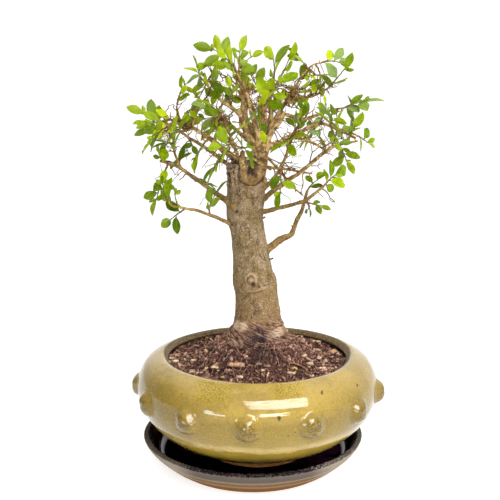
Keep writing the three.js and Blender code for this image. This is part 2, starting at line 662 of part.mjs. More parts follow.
function makeWood(limbs, routes) {
  const solids = [toSolid(makeTrunk(0)), ...KNOBS.map(makeKnob), makeKnob(TRUNK_SCAR)];
  for (const { curve, rootRadius, tipRadius, spans } of limbs) {
    const steps = spans * (rootRadius > 4 ? 2 : 1);
    solids.push(toSolid(makeStem(curve, 0, 1, rootRadius, tipRadius, sidesFor(rootRadius), steps)));
  }
  for (const { curve, split, root } of routes.filter(({ isLong }) => isLong)) {
    const radius = Math.min(Math.max(root.radius * 0.8, TWIG_END_RADIUS), TWIG_ROOT_RADIUS);
    solids.push(toSolid(makeStem(curve, 0, split, radius, TWIG_END_RADIUS, 3, 2)));
  }
  return joinAll(solids);
}

// The plant grows: limbs first, then the routes of all shoots, then their leaves
const limbs = growLimbs();
const limbSamples = limbs.flatMap(sampleLimb);
const woodSamples = [...sampleTrunk(), ...limbSamples];
const routes = [];
for (const shoot of SHOOTS) {
  const route = growRoute(shoot, limbSamples, woodSamples, routes);
  if (route) {
    routes.push(route);
    woodSamples.push(...route.twig);
  }
}

const wood = makeWood(limbs, routes);
const sprays = [];
const leafPoints = [];
for (const route of routes) {
  const otherStems = routes.filter((other) => other !== route).flatMap((other) => other.stem);
  route.facing = growFacing(route);
  const grown = growLeaves(route, woodSamples, otherStems, leafPoints);
  sprays.push(seatSpray(route, grown.leaves, wood));
  leafPoints.push(...grown.points);
}

// Assembly
const glazeDark = new THREE.MeshStandardMaterial({ color: 0x17171c, ...CERAMIC });
const glazeMustard = new THREE.MeshStandardMaterial({ color: 0xa08a45, ...CERAMIC });
const plastic = new THREE.MeshStandardMaterial({ color: 0x23262a, roughness: 0.6, metalness: 0 });
const soilBrown = new THREE.MeshStandardMaterial({ color: 0x4a2c20, roughness: 0.95, metalness: 0 });
const bark = new THREE.MeshStandardMaterial({ color: 0x94815f, ...PLANT });
const leafGreens = [0x6f9c00, 0x8cb30f, 0x4d7d08].map((color) => (
  new THREE.MeshStandardMaterial({ color, ...PLANT })
));

const bonsai = new THREE.Group();
bonsai.add(namedMesh('drip_tray', makeTray(), glazeDark));

const potted = new THREE.Group();
potted.position.set(POT_X, 0, POT_BASE);
bonsai.add(potted);
potted.add(namedMesh('pot', makePot(), glazeMustard));

const drainageMesh = namedMesh('drainage_mesh', makeMesh(), plastic);
drainageMesh.position.z = POT_FLOOR + SEAT_GAP + MESH_THICKNESS / 2;
potted.add(drainageMesh);

const trunkHole = toSolid(makeTrunk(TRUNK_HOLE_GAP).translate(-POT_X, 0, -POT_BASE));
potted.add(namedMesh('soil', toGeometry(toSolid(makeSoil()).subtract(trunkHole)), soilBrown));

bonsai.add(namedMesh('wood', toGeometry(wood), bark));
sprays.forEach((spray, index) => {
  const name = `spray_${String(index + 1).padStart(2, '0')}`;
  bonsai.add(namedMesh(name, toGeometry(spray), leafGreens[index % leafGreens.length]));
});

export default bonsai;
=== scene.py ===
import math
from types import SimpleNamespace

import bmesh
import bpy
import numpy as np
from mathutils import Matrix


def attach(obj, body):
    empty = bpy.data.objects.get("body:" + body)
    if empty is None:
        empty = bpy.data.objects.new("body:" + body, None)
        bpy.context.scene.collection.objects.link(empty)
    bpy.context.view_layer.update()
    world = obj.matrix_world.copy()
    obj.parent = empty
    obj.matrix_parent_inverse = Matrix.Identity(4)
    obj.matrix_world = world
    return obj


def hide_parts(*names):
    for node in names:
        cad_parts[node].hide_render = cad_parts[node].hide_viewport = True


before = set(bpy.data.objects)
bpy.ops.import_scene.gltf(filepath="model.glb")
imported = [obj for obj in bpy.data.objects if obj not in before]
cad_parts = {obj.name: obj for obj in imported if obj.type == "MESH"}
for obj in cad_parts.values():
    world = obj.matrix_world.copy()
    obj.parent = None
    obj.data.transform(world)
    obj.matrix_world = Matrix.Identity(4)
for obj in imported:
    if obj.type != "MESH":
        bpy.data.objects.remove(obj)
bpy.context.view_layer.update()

# The pot, the tray and the soil, as the solid model has them
POT_X = 4.5
POT_BASE = 10.3
SOIL_EDGE = 93.5
SOIL_MOUND = 23
MOUND_TOP_RADIUS = 36
MOUND_FOOT_RADIUS = 74
BOSS_COUNT = 13
BOSS_RADIUS = 12.6
BOSS_HEIGHT = 7.4
BOSS_LEVEL = 68
BOSS_FIRST_ANGLE = math.radians(-4.5)
BELLY_RADIUS = 124

POT_OUTSIDE = [
    (50, 0), (53.6, 0.5), (55.2, 4.4), (59, 6.2), (69, 12), (83, 18), (98, 27), (112, 40), (121, 56),
    (124, 73), (121.5, 85), (115, 95.5), (104, 102), (97, 103), (92, 100),
]
POT_INSIDE = [
    (92, 100), (95, 95.5), (105, 90.5), (112, 81), (114.5, 68), (110, 51), (97, 36), (72, 21.5), (40, 14),
]
POT_UNDERSIDE = [(40, 14), (11, 14), (11, 3.5), (40, 3.5), (41, 0), (50, 0)]
TRAY_OUTSIDE = [(85, 0), (95, 7), (106, 17), (112, 24.5), (114, 28.5)]
TRAY_LIP = [(114, 28.5), (113.4, 29.6), (112, 30), (109, 30), (107.4, 29.2), (106, 27)]
TRAY_INSIDE = [(106, 27), (102.5, 20.5), (99, 14), (96.3, 11.2), (92, 10)]

# The tree's growth rule, in millimetres, as the solid model has it
TRUNK_ROWS = [
    (104, 1, 35), (114, 1, 38.5), (122, 1.5, 38), (130, 2, 34), (139, 4.5, 28), (148, 5, 25.2),
    (160, 5, 22.5), (174, 3.8, 21.6), (190, 1.6, 22), (202, -0.3, 20), (218, -2.2, 18.6),
    (238, -5.6, 17.5), (256, -8.5, 18.1), (276, -7.5, 18.8), (293, -6.8, 18.8), (308, -8, 17.4),
]

# The limbs: radius at the root, radius at the tip, and the points of the route
LIMBS = [
    # Stems that rise from the old cut
    (14, 8.5, [(2, 2, 292), (6, 2, 311), (4, 0, 327), (4, -2, 338)]),
    (6, 1.5, [(3, 0, 322), (-5, -5, 336), (-13, -10, 357), (-33, -16, 372), (-48, -22, 389)]),
    (5.5, 1.5, [(4, 0, 328), (1, 4, 353), (-4, 1, 372), (-12, -4, 388), (-19, -8, 403)]),
    (2.3, 1.1, [(-5, 0, 374), (-17, 8, 386), (-30, 12, 395), (-43, 16, 400)]),
    (4.6, 1.7, [(8, -1, 330), (11, -8, 349), (12, -13, 366), (18, -16, 385)]),
    (5.2, 2, [(10, 0, 320), (17, 8, 341), (27, 10, 360), (42, 4, 378)]),
    (4.6, 1.5, [(8, 4, 324), (13, 20, 341), (18, 34, 359), (9, 46, 377)]),
    (3.8, 1.3, [(0, 3, 326), (-14, 22, 338), (-28, 40, 350), (-38, 58, 358)]),
    (3.8, 1.3, [(8, 4, 318), (26, 24, 328), (46, 44, 338), (66, 62, 344)]),
    (2.2, 1.1, [(10, -8, 348), (8, -30, 354), (6, -56, 360)]),
    # Limbs on the right
    (3.6, 1.2, [(12, 0, 324), (31, -6, 331), (48, -18, 341), (66, -30, 348), (95, -50, 335)]),
    (2, 1, [(40, -10, 335), (58, 4, 329), (73, 14, 321)]),
    (2.6, 1.1, [(27, 10, 358), (50, 6, 352), (72, 1, 359), (90, -4, 363)]),
    (2.4, 1.1, [(38, 6, 374), (47, 10, 392), (58, 14, 404), (68, 17, 407)]),
    (1.5, 0.9, [(47, 10, 391), (60, 0, 394), (80, -12, 394)]),
    (2, 0.9, [(38, 5, 372), (58, -9, 374), (72, -22, 382)]),
    (3.4, 1.3, [(4, 4, 266), (21, 14, 280), (49, 28, 298), (82, 38, 322), (109, 40, 329)]),
    (2.4, 1.2, [(8, -6, 280), (23, -20, 299), (31, -32, 316), (34, -38, 331)]),
    (1.8, 0.9, [(4, -9, 308), (16, -22, 306), (32, -36, 305), (55, -52, 302)]),
    (1.7, 0.9, [(10, 0, 318), (24, 12, 304), (39, 26, 285), (52, 34, 273)]),
    (3.2, 1.4, [(4, -3, 259), (22, -10, 264), (49, -24, 273), (67, -34, 288)]),
    (4.6, 1.8, [(8, 0, 216), (27, 4, 229), (44, 10, 245), (51, 12, 262), (55, 9, 280)]),
    # Limbs on the left
    (2.8, 1, [(-14, -3, 241), (-27, -10, 251), (-52, -24, 263), (-78, -36, 270)]),
    (3.6, 1.3, [(-14, -2, 260), (-31, 0, 274), (-54, 4, 290), (-76, 8, 305), (-94, 12, 310)]),
    (1.6, 0.9, [(-72, 7, 302), (-79, 4, 321), (-79, 0, 334)]),
    (4.6, 1.8, [(-10, 0, 306), (-26, -4, 320), (-45, -12, 335), (-72, -26, 352)]),
    (3, 1.1, [(-14, 6, 298), (-40, 20, 317), (-65, 36, 332), (-92, 50, 348)]),
    (2, 1, [(-60, -19, 343), (-54, -22, 363), (-43, -26, 374)]),
    (1.5, 0.9, [(-69, -24, 349), (-73, -28, 359), (-72, -30, 366)]),
    (3.4, 1.2, [(-12, -6, 304), (-19, -14, 328), (-29, -28, 351)]),
    (2.2, 1.1, [(-19, -13, 326), (-22, -38, 332), (-20, -58, 330)]),
]

# The leafy shoots: x, y, z of the tip, and the number of leaves
SHOOTS = [
    (-38, -10, 418, 7), (-25, -22, 408, 5), (-13, 6, 416, 5), (-2, 22, 413, 6),
    (-52, -8, 398, 5), (-36, -40, 388, 5), (-4, 40, 400, 5),
    (-64, -34, 384, 5), (-54, 26, 374, 5), (-106, -10, 357, 5), (-97, -40, 348, 5),
    (-105, 28, 340, 5), (-92, -58, 334, 5), (-86, -18, 325, 5), (-72, -66, 342, 5),
    (-42, -60, 364, 5), (-50, 42, 352, 5), (-72, 22, 314, 4), (-54, -30, 316, 4),
    (-38, -26, 303, 4), (-28, -72, 328, 3), (-6, -84, 328, 3),
    (-48, 26, 286, 4), (-40, -16, 274, 4), (-88, -20, 289, 5), (-74, -46, 282, 4),
    (-98, 8, 272, 5), (-80, -30, 256, 3),
    (19, -32, 407, 5), (34, -14, 408, 5), (47, 30, 410, 5), (86, 24, 408, 5),
    (85, -36, 398, 3), (69, 30, 386, 5), (25, -52, 384, 5), (50, 54, 382, 5),
    (108, -10, 369, 6), (102, 28, 359, 5), (72, -54, 356, 6), (92, -60, 344, 5),
    (110, -22, 330, 3), (68, 32, 333, 4), (32, -64, 330, 4), (7, -86, 366, 5),
    (44, -72, 356, 5), (80, -18, 298, 6), (98, 44, 309, 5), (26, -38, 284, 3), (66, 20, 290, 3),
    (-20, 72, 380, 5), (48, 82, 364, 5), (10, 90, 342, 5), (-40, 84, 338, 5),
    (64, 86, 332, 5), (90, 58, 348, 5),
]

SEED = 2026
SEAT_GAP = 0.3
LIMB_SAMPLES_PER_SPAN = 8
SAMPLE_SPACING = 2.5
ATTEMPTS = 40
FIRST_ROOT_SHARE = 0.2
TURN_COST = 0.35
LEAST_REACH = 15
ROOT_SPACING = 6
LONG_REACH = 26
LEAST_TWIG = 2.5
TWIG_END_RADIUS = 1
ROUTE_JITTER = 0.35
ROUTE_BEND = 0.45
STEM_RADIUS = 1
SEAT_STEP = 0.1
LEAF_SPACING = 4.6
LEAF_LENGTH = 16.5
LEAF_LENGTH_SPREAD = 3.8
LARGE_LEAF_EXTRA = 4
LEAF_HALF_WIDTH = 0.3
LEAF_FOLD = 0.22
LEAF_ARCH = 0.12
LEAF_ANGLE = 0.75
LEAF_ANGLE_RANGE = 0.45
LEAF_SWAY = 0.3
LEAF_TWIST = 0.35
CROWN_CENTRE = np.array([5, 0, 315])
LEAF_CLEARANCE = 4.2
SISTER_CLEARANCE = 2.6
WOOD_CLEARANCE = 2.4
STEM_CLEARANCE = 1.6
FOOT_CLEARANCE = 0.5


# Repeatable random numbers, the same as the solid model draws
class Draws:
    def __init__(self, seed):
        self.state = seed

    def number(self):
        self.state = (self.state + 0x6D2B79F5) & 0xFFFFFFFF
        mix = ((self.state ^ (self.state >> 15)) * (self.state | 1)) & 0xFFFFFFFF
        mix ^= (mix + (mix ^ (mix >> 7)) * (mix | 61)) & 0xFFFFFFFF
        return (mix ^ (mix >> 14)) / 4294967296

    def spread(self, amount):
        return (self.number() * 2 - 1) * amount

    def vector(self, amount):
        return np.array([self.spread(amount) for _ in range(3)])


def unit(vector):
    return vector / np.sqrt((vector * vector).sum())


# A smooth curve through points, and a shoot's curve with one bend
class LimbCurve:
    def __init__(self, points):
        p = np.array(points, float)
        self.points = np.vstack([2 * p[0] - p[1], p, 2 * p[-1] - p[-2]])
        self.spans = len(p) - 1

    def point(self, t):
        at = t * self.spans
        i = min(int(at), self.spans - 1)
        w = at - i
        before, a, b, after = self.points[i:i + 4]
        go, come = (b - before) / 2, (after - a) / 2
        return a + w * go + w * w * (3 * (b - a) - 2 * go - come) + w ** 3 * (2 * (a - b) + go + come)


class ShootCurve:
    def __init__(self, start, bend, tip):
        self.start, self.bend, self.tip = start, bend, tip

    def point(self, t):
        return (1 - t) ** 2 * self.start + 2 * (1 - t) * t * self.bend + t * t * self.tip


def tangent(curve, t):
    return unit(curve.point(min(t + 1e-4, 1)) - curve.point(max(t - 1e-4, 0)))


def curve_length(curve):
    points = np.array([curve.point(i / 200) for i in range(201)])
    return np.sqrt((np.diff(points, axis=0) ** 2).sum(1)).sum()


# Balls along the wood, stems and leaves: their centres and radii
class Balls:
    def __init__(self, points=(), radii=()):
        self.points = np.array(points, float).reshape(-1, 3)
        self.radii = np.broadcast_to(np.array(radii, float), len(self.points))

    def __add__(self, other):
        return Balls(np.vstack([self.points, other.points]), np.concatenate([self.radii, other.radii]))

    def pick(self, mask):
        return Balls(self.points[mask], self.radii[mask])

    def clear_of(self, other, clearance):
        if not len(self.points) or not len(other.points):
            return True
        apart = np.sqrt(((self.points[:, None] - other.points[None]) ** 2).sum(2))
        return bool((apart > self.radii[:, None] + other.radii[None] + clearance).all())


def sample_curve(curve, start, end, radius):
    count = int(np.ceil(curve_length(curve) * (end - start) / SAMPLE_SPACING))
    return Balls([curve.point(start + (end - start) * i / count) for i in range(count + 1)], radius)


class Limb:
    def __init__(self, root_radius, tip_radius, points):
        self.curve, self.root_radius, self.tip_radius = LimbCurve(points), root_radius, tip_radius
        count = self.curve.spans * LIMB_SAMPLES_PER_SPAN
        self.t = np.arange(count + 1) / count
        self.radii = root_radius + (tip_radius - root_radius) * self.t
        self.places = np.array([self.curve.point(t) for t in self.t])
        self.tangents = np.array([tangent(self.curve, t) for t in self.t])


# The place on a limb that a shoot grows from
def root_for(tip, places, tangents, t, shoots):
    reach = tip - places
    distance = np.sqrt((reach ** 2).sum(1))
    turn = 1 - (tangents * reach).sum(1) / distance
    cost = distance * (1 + TURN_COST * turn)
    free = (t > FIRST_ROOT_SHARE) & (distance > LEAST_REACH)
    for shoot in shoots:
        free &= np.sqrt(((places - shoot.root) ** 2).sum(1)) > ROOT_SPACING
    return int(np.argmin(np.where(free, cost, np.inf)))


# Where a short shoot's stem starts, just clear of the surface of its limb
def stem_foot(curve, root, direction, radius, at_end, distance):
    clear = radius + SEAT_GAP + STEM_RADIUS / 2
    t = 0.0
    while t < 1:
        out = curve.point(t) - root
        along = (out * direction).sum()
        aside = np.sqrt(max((out * out).sum() - along * along, 0))
        if aside > clear or (at_end and along > SEAT_GAP + STEM_RADIUS / 2):
            return t
        t += SEAT_STEP / distance
    return 1.0


# The route of one shoot from its limb. A long one starts with a woody twig.
def grow_shoot(draws, x, y, z, leaves, limbs, wood, shoots):
    tip = np.array([x, y, z], float)
    places, tangents, radii, t = (np.concatenate(rows) for rows in zip(
        *[(limb.places, limb.tangents, limb.radii, limb.t) for limb in limbs]))
    k = root_for(tip, places, tangents, t, shoots)
    root, direction, radius = places[k], tangents[k], radii[k]
    stems = sum((shoot.stem for shoot in shoots), Balls())
    distance = np.sqrt(((tip - root) ** 2).sum())
    straight = unit(tip - root)
    is_long = distance > LONG_REACH
    beside = np.sqrt(((wood.points - root) ** 2).sum(1)) < (0 if is_long else distance / 2)
    nearby, obstacles = wood.pick(beside), wood.pick(~beside)
    for _ in range(ATTEMPTS):
        start = unit(direction * 0.4 + straight * 0.8 + draws.vector(ROUTE_JITTER))
        curve = ShootCurve(root, root + start * distance * ROUTE_BEND, tip)
        foot = stem_foot(curve, root, direction, radius, t[k] == 1, distance)
        split = foot
        if is_long:
            split = max(1 - LEAF_SPACING * leaves / distance, foot + (radius + LEAST_TWIG) / distance)
        stem_from = split + SEAT_GAP / distance if is_long else foot
        stem = sample_curve(curve, stem_from, 1, STEM_RADIUS)
        twig = sample_curve(curve, 0, split, TWIG_END_RADIUS) if is_long else Balls()
        if (stem.clear_of(obstacles, STEM_CLEARANCE)
                and stem.pick(slice(2, None)).clear_of(nearby, FOOT_CLEARANCE)
                and stem.clear_of(stems, STEM_CLEARANCE) and twig.clear_of(stems, STEM_CLEARANCE)):
            return SimpleNamespace(
                curve=curve, root=root, root_radius=radius, is_long=is_long, split=split, stem=stem,
                stem_from=stem_from, twig=twig, leaf_count=leaves, tip=tip, distance=distance)
    return None


def grow_facing(draws, shoot):
    outward = unit((shoot.tip - CROWN_CENTRE) * (1, 1, 0))
    return unit(outward + (0, 0, 1) + (draws.spread(2), draws.spread(2), draws.spread(0.9)))


def stem_axes(shoot, t):
    heading = tangent(shoot.curve, t)
    sideways = unit(np.cross(heading, shoot.facing))
    return heading, sideways, np.cross(sideways, heading)


# One leaf: where it starts, its own axes and its size
def grow_leaf(draws, shoot, index, side):
    share = 1 if side == 0 else (index + 0.7) / shoot.leaf_count
    leaf = SimpleNamespace(t=shoot.stem_from + (1 - shoot.stem_from) * share)
    heading, sideways, upward = stem_axes(shoot, leaf.t)
    if side == 0:
        angle = draws.spread(LEAF_SWAY)
    else:
        angle = side * (LEAF_ANGLE + draws.number() * LEAF_ANGLE_RANGE)
    along = heading * np.cos(angle) + sideways * np.sin(angle)
    leaf.along = unit(along + upward * draws.spread(LEAF_SWAY))
    leaf.across = unit(np.cross(leaf.along, upward + draws.vector(LEAF_TWIST)))
    leaf.up = np.cross(leaf.across, leaf.along)
    leaf.length = LEAF_LENGTH + draws.spread(LEAF_LENGTH_SPREAD)
    leaf.length += LARGE_LEAF_EXTRA if draws.number() > 0.8 else 0
    leaf.base = shoot.curve.point(leaf.t)
    return leaf


# Points of the blade: shares of the length and the half width, and height off the blade
def blade_points(leaf, length_share, width_share, lift):
    width = width_share * LEAF_HALF_WIDTH * leaf.length
    height = lift + LEAF_FOLD * np.abs(width) - LEAF_ARCH * length_share ** 2 * leaf.length
    return (leaf.base + np.multiply.outer(length_share * leaf.length, leaf.along)
            + np.multiply.outer(width, leaf.across) + np.multiply.outer(height, leaf.up))


CHECKED = np.array([(s, w) for s in (0.3, 0.5, 0.7) for w in (-0.8, 0, 0.8)]
                   + [(0.9, -0.4), (0.9, 0.4), (1, 0)])


def grow_leaves(draws, shoot, wood, other_stems, other_leaves):
    leaves, own = [], Balls()
    for index in range(shoot.leaf_count):
        side = 0 if index == shoot.leaf_count - 1 else 1 - 2 * (index % 2)
        for _ in range(ATTEMPTS):
            leaf = grow_leaf(draws, shoot, index, side)
            balls = Balls(blade_points(leaf, CHECKED[:, 0], CHECKED[:, 1], 0), 0)
            if (balls.clear_of(wood, WOOD_CLEARANCE) and balls.clear_of(other_stems, WOOD_CLEARANCE)
                    and balls.clear_of(other_leaves, LEAF_CLEARANCE)
                    and balls.clear_of(own, SISTER_CLEARANCE)):
                leaves.append(leaf)
                own = own + balls
                break
    return leaves, own


def grow_tree():
    draws = Draws(SEED)
    limbs = [Limb(*limb) for limb in LIMBS]
    wood = Balls([(x, 0, z) for z, x, _ in TRUNK_ROWS], [r for _, _, r in TRUNK_ROWS])
    wood = sum((Balls(limb.places, limb.radii) for limb in limbs), wood)
    shoots = []
    for place in SHOOTS:
        shoot = grow_shoot(draws, *place, limbs, wood, shoots)
        shoots.append(shoot)
        wood = wood + shoot.twig
    taken = Balls()
    for shoot in shoots:
        others = sum((other.stem for other in shoots if other is not shoot), Balls())
        shoot.facing = grow_facing(draws, shoot)
        shoot.leaves, own = grow_leaves(draws, shoot, wood, others, taken)
        taken = taken + own
    return limbs, shoots, wood, taken


# Smooth random fields
def lattice(cell, seed):
    mix = cell[:, 0] * 73856093 ^ cell[:, 1] * 19349663 ^ cell[:, 2] * 83492791 ^ (seed * 7919 + 101)
    mix = ((mix ^ (mix >> 13)) * 1274126177) & 0xFFFFFFFF
    mix = ((mix ^ (mix >> 15)) * 2246822519) & 0xFFFFFFFF
    return ((mix ^ (mix >> 13)) & 0xFFFF) / 32767.5 - 1


def noise(points, size, seed=0):
    at = np.asarray(points, float) / size
    cell = np.floor(at).astype(np.int64)
    part = at - cell
    part = part * part * (3 - 2 * part)
    total = 0
    for corner in np.ndindex(2, 2, 2):
        weight = np.prod(np.where(corner, part, 1 - part), axis=1)
        total = total + weight * lattice(cell + corner, seed)
    return total


def smoothstep(value, low, high):
    share = np.clip((np.asarray(value, float) - low) / (high - low), 0, 1)
    return share * share * (3 - 2 * share)


def bell(value, width):
    return np.exp(-(np.asarray(value, float) / width) ** 2)


# Points at even steps along a smooth curve through the given ones
def resample(points, step):
    reach = np.append(0, np.cumsum(np.linalg.norm(np.diff(points, axis=0), axis=1)))
    at = np.linspace(0, reach[-1], max(round(reach[-1] / step), 2) + 1)
    return np.column_stack([np.interp(at, reach, column) for column in points.T])


def run_through(points, step):
    curve = LimbCurve(points)
    return resample(np.array([curve.point(t) for t in np.linspace(0, 1, 16 * curve.spans + 1)]), step)


# A piece in the making: its points with named values, and its faces with their material
class Shape:
    def __init__(self, *names):
        self.names, self.count = names, 0
        self.points, self.rows, self.faces, self.slots = [], [], [], []

    def add(self, points, groups, slot=0, **values):
        points = np.reshape(points, (-1, 3))
        for group in groups:
            self.faces += (np.asarray(group) + self.count).tolist()
            self.slots += [slot] * len(group)
        rows = [np.broadcast_to(values.get(name, 0.0), len(points)) for name in self.names]
        self.points.append(points)
        self.rows.append(np.array(rows, float).reshape(len(self.names), len(points)))
        self.count += len(points)

    def add_tube(self, points, radii, sides=6, slot=0, **values):
        points = np.asarray(points, float)
        rings, groups = tube(points, np.broadcast_to(radii, len(points)), sides)
        for name, value in values.items():
            along = np.broadcast_to(value, len(points))
            values[name] = np.append(np.repeat(along, sides), along[[0, -1]])
        self.add(rings, groups, slot, **values)


# Faces of a grid of points, row by row; a closed grid joins its last column to its first
def grid_faces(rows, columns, closed=True):
    i, j = np.meshgrid(np.arange(rows - 1), np.arange(columns - (not closed)), indexing="ij")
    a, b = i * columns + j, i * columns + (j + 1) % columns
    return np.stack([a, b, b + columns, a + columns], -1).reshape(-1, 4)


# Faces of rings whose ends are closed over a middle point. The two middle points follow the rings.
def closed_faces(rows, columns):
    here = np.arange(columns)
    after, last, middle = (here + 1) % columns, (rows - 1) * columns, rows * columns
    first_cap = np.stack([after, here, np.full(columns, middle)], 1)
    last_cap = np.stack([here + last, after + last, np.full(columns, middle + 1)], 1)
    return [grid_faces(rows, columns), first_cap, last_cap]


def add_closed_rings(shape, points, rows, columns, **values):
    ends = [points[:columns].mean(0), points[-columns:].mean(0)]
    shape.add(np.vstack([points, ends]), closed_faces(rows, columns), **values)


# A tube along points, closed at both ends
def tube(points, radii, sides):
    heading = np.gradient(points, axis=0)
    heading /= np.linalg.norm(heading, axis=1)[:, None]
    side = np.cross(heading[0], np.eye(3)[np.argmin(np.abs(heading[0]))])
    turn = np.arange(sides) * 2 * np.pi / sides
    rings = []
    for point, ahead, radius in zip(points, heading, radii):
        side = unit(side - ahead * (side @ ahead))
        ring = np.outer(np.cos(turn), side) + np.outer(np.sin(turn), np.cross(ahead, side))
        rings.append(point + radius * ring)
    return np.vstack([*rings, points[[0, -1]]]), closed_faces(len(points), sides)


def mesh_of(shape, name):
    mesh = bpy.data.meshes.new(name)
    mesh.from_pydata((np.vstack(shape.points) / 1000).tolist(), [], shape.faces)
    return mesh


# Values that the materials read, one for each point
def note_values(mesh, name, values):
    mesh.attributes.new(name, "FLOAT", "POINT").data.foreach_set("value", values.astype(np.float32))


def make_piece(name, shape, materials, slot, replaces=(), sharp=None):
    mesh = mesh_of(shape, name)
    mesh.polygons.foreach_set("material_index", shape.slots)
    for key, row in zip(shape.names, np.hstack(shape.rows)):
        note_values(mesh, key, row)
    face_out(mesh)
    return place(name, mesh, materials, slot, replaces, sharp)


# Turns every face of closed shells outward
def face_out(mesh):
    work = bmesh.new()
    work.from_mesh(mesh)
    bmesh.ops.recalc_face_normals(work, faces=work.faces)
    work.to_mesh(mesh)
    work.free()


def place(name, mesh, materials, slot, replaces=(), sharp=None):
    for material in materials:
        mesh.materials.append(material)
    mesh.shade_smooth()
    if sharp:
        mesh.set_sharp_from_angle(angle=math.radians(sharp))
    piece = bpy.data.objects.new(name, mesh)
    bpy.context.scene.collection.objects.link(piece)
    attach(piece, "root")
    if replaces:
        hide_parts(*replaces)
    return piece


# A node material, painted by rules from positions and named values. Sizes are in millimetres.
class Paint:
    def __init__(self, name, **settings):
        self.material = bpy.data.materials.new(name)
        self.material.use_nodes = True
        self.tree = self.material.node_tree
        self.shader = self.tree.nodes["Principled BSDF"]
        for key, value in settings.items():
            self.set(key, value)

    def set(self, key, value):
        self.feed(self.shader.inputs[key.replace("_", " ").title().replace("Ior", "IOR")], value)

    def feed(self, socket, value):
        if isinstance(value, bpy.types.NodeSocket):
            self.tree.links.new(value, socket)
        elif hasattr(socket.default_value, "__len__") and len(socket.default_value) == 4:
            socket.default_value = (*value, 1)
        else:
            socket.default_value = value

    def node(self, kind, inputs=(), **settings):
        node = self.tree.nodes.new("ShaderNode" + kind)
        for key, value in settings.items():
            setattr(node, key, value)
        for index, value in dict(inputs).items():
            self.feed(node.inputs[index], value)
        return node

    def value(self, name):
        return self.node("Attribute", attribute_name=name).outputs["Fac"]

    def place(self, stretch=(1, 1, 1), turn=(0, 0, 0)):
        at = self.node("TexCoord").outputs["Object"]
        if any(turn):
            at = self.node("Mapping", {"Vector": at, "Rotation": turn}).outputs[0]
        return self.node("Mapping", {"Vector": at, "Scale": stretch}).outputs[0]

    def noise(self, size, detail=4, rough=0.55, stretch=(1, 1, 1), bend=0, turn=(0, 0, 0)):
        inputs = {"Vector": self.place(stretch, turn), "Scale": 1000 / size, "Detail": detail,
                  "Roughness": rough, "Distortion": bend}
        return self.node("TexNoise", inputs).outputs[0]

    # Soft-edged patches of noise: none of it is seen below the low value, all of it above the high one
    def patches(self, size, low, high, *noise, span=(0, 1), **more):
        return self.rise(self.noise(size, *noise, **more), low, high, *span)

    def cells(self, size, feature="F1", stretch=(1, 1, 1), bend=0.0):
        at = self.place(stretch)
        sway = self.node("TexNoise", {"Vector": at, "Scale": 600 / size, "Detail": 3}).outputs[1]
        inputs = {0: sway, 1: (bend / 1000,) * 3, 2: at}
        at = self.node("VectorMath", inputs, operation="MULTIPLY_ADD").outputs[0]
        return self.node("TexVoronoi", {"Vector": at, "Scale": 1000 / size}, feature=feature).outputs[0]

    # Places across, in depth and in height
    def axes(self):
        return [self.times(way, 1000) for way in self.node("SeparateXYZ", {0: self.place()}).outputs]

    # Distance from a point, counted only along the axes that the stretch keeps
    def away(self, point, stretch=(1, 1, 1), ragged=0.0, size=4):
        middle = self.node("Mapping", {"Vector": tuple(c / 1000 for c in point), "Scale": stretch}).outputs[0]
        gap = self.node("VectorMath", {0: self.place(stretch), 1: middle}, operation="DISTANCE").outputs[1]
        return self.ragged(self.times(gap, 1000), ragged, size, 3, 0.6)

    # A value that a noise moves up and down
    def ragged(self, value, amount, *noise):
        return self.plus(value, self.times(self.plus(self.noise(*noise), -0.5), amount))

    def math(self, operation, a, b=0.0):
        return self.node("Math", {0: a, 1: b}, operation=operation).outputs[0]

    def plus(self, a, b):
        return self.math("ADD", a, b)

    def times(self, a, b):
        return self.math("MULTIPLY", a, b)

    def absolute(self, value):
        return self.math("ABSOLUTE", value)

    def rise(self, value, low, high, out_low=0.0, out_high=1.0):
        inputs = {0: value, 1: low, 2: high, 3: out_low, 4: out_high}
        return self.node("MapRange", inputs, interpolation_type="SMOOTHSTEP").outputs[0]

    def mix(self, share, a, b, blend="MIX"):
        return self.node("Mix", {0: share, 6: a, 7: b}, data_type="RGBA", blend_type=blend).outputs[2]

    # A colour with another one laid over it
    def cover(self, color, other, where, strength=1):
        return self.mix(self.times(where, strength), color, other)

    def ramp(self, value, *stops):
        node = self.node("ValToRGB", {0: value})
        points = node.color_ramp.elements
        while len(points) < len(stops):
            points.new(0.5)
        for point, (at, color) in zip(points, stops):
            point.position = at
            point.color = (*color, 1)
        return node.outputs[0]

    def bump(self, height, depth, strength=1):
        inputs = {"Height": height, "Distance": depth / 1000, "Strength": strength}
        if self.shader.inputs["Normal"].is_linked:
            inputs["Normal"] = self.shader.inputs["Normal"].links[0].from_socket
        self.set("normal", self.node("Bump", inputs).outputs[0])


# The toothed blade of a leaf. Its rows slant forward along the side veins.
LEAF_ROWS = 21
LEAF_COLUMNS = np.array([-1, -0.55, 0, 0.55, 1])
BLADE_THICKNESS = 0.35
BLADE_SLIMNESS = 0.82
PETIOLE_END = 0.11
# Half the crown's width, depth and height, and its lowest level
CROWN_REACH = (112, 98, 108)
CROWN_FOOT = 245
# Lowest wood that carries small shoots
SMALL_SHOOTS_ABOVE = 262
SMALL_SHOOT_COUNT = 30


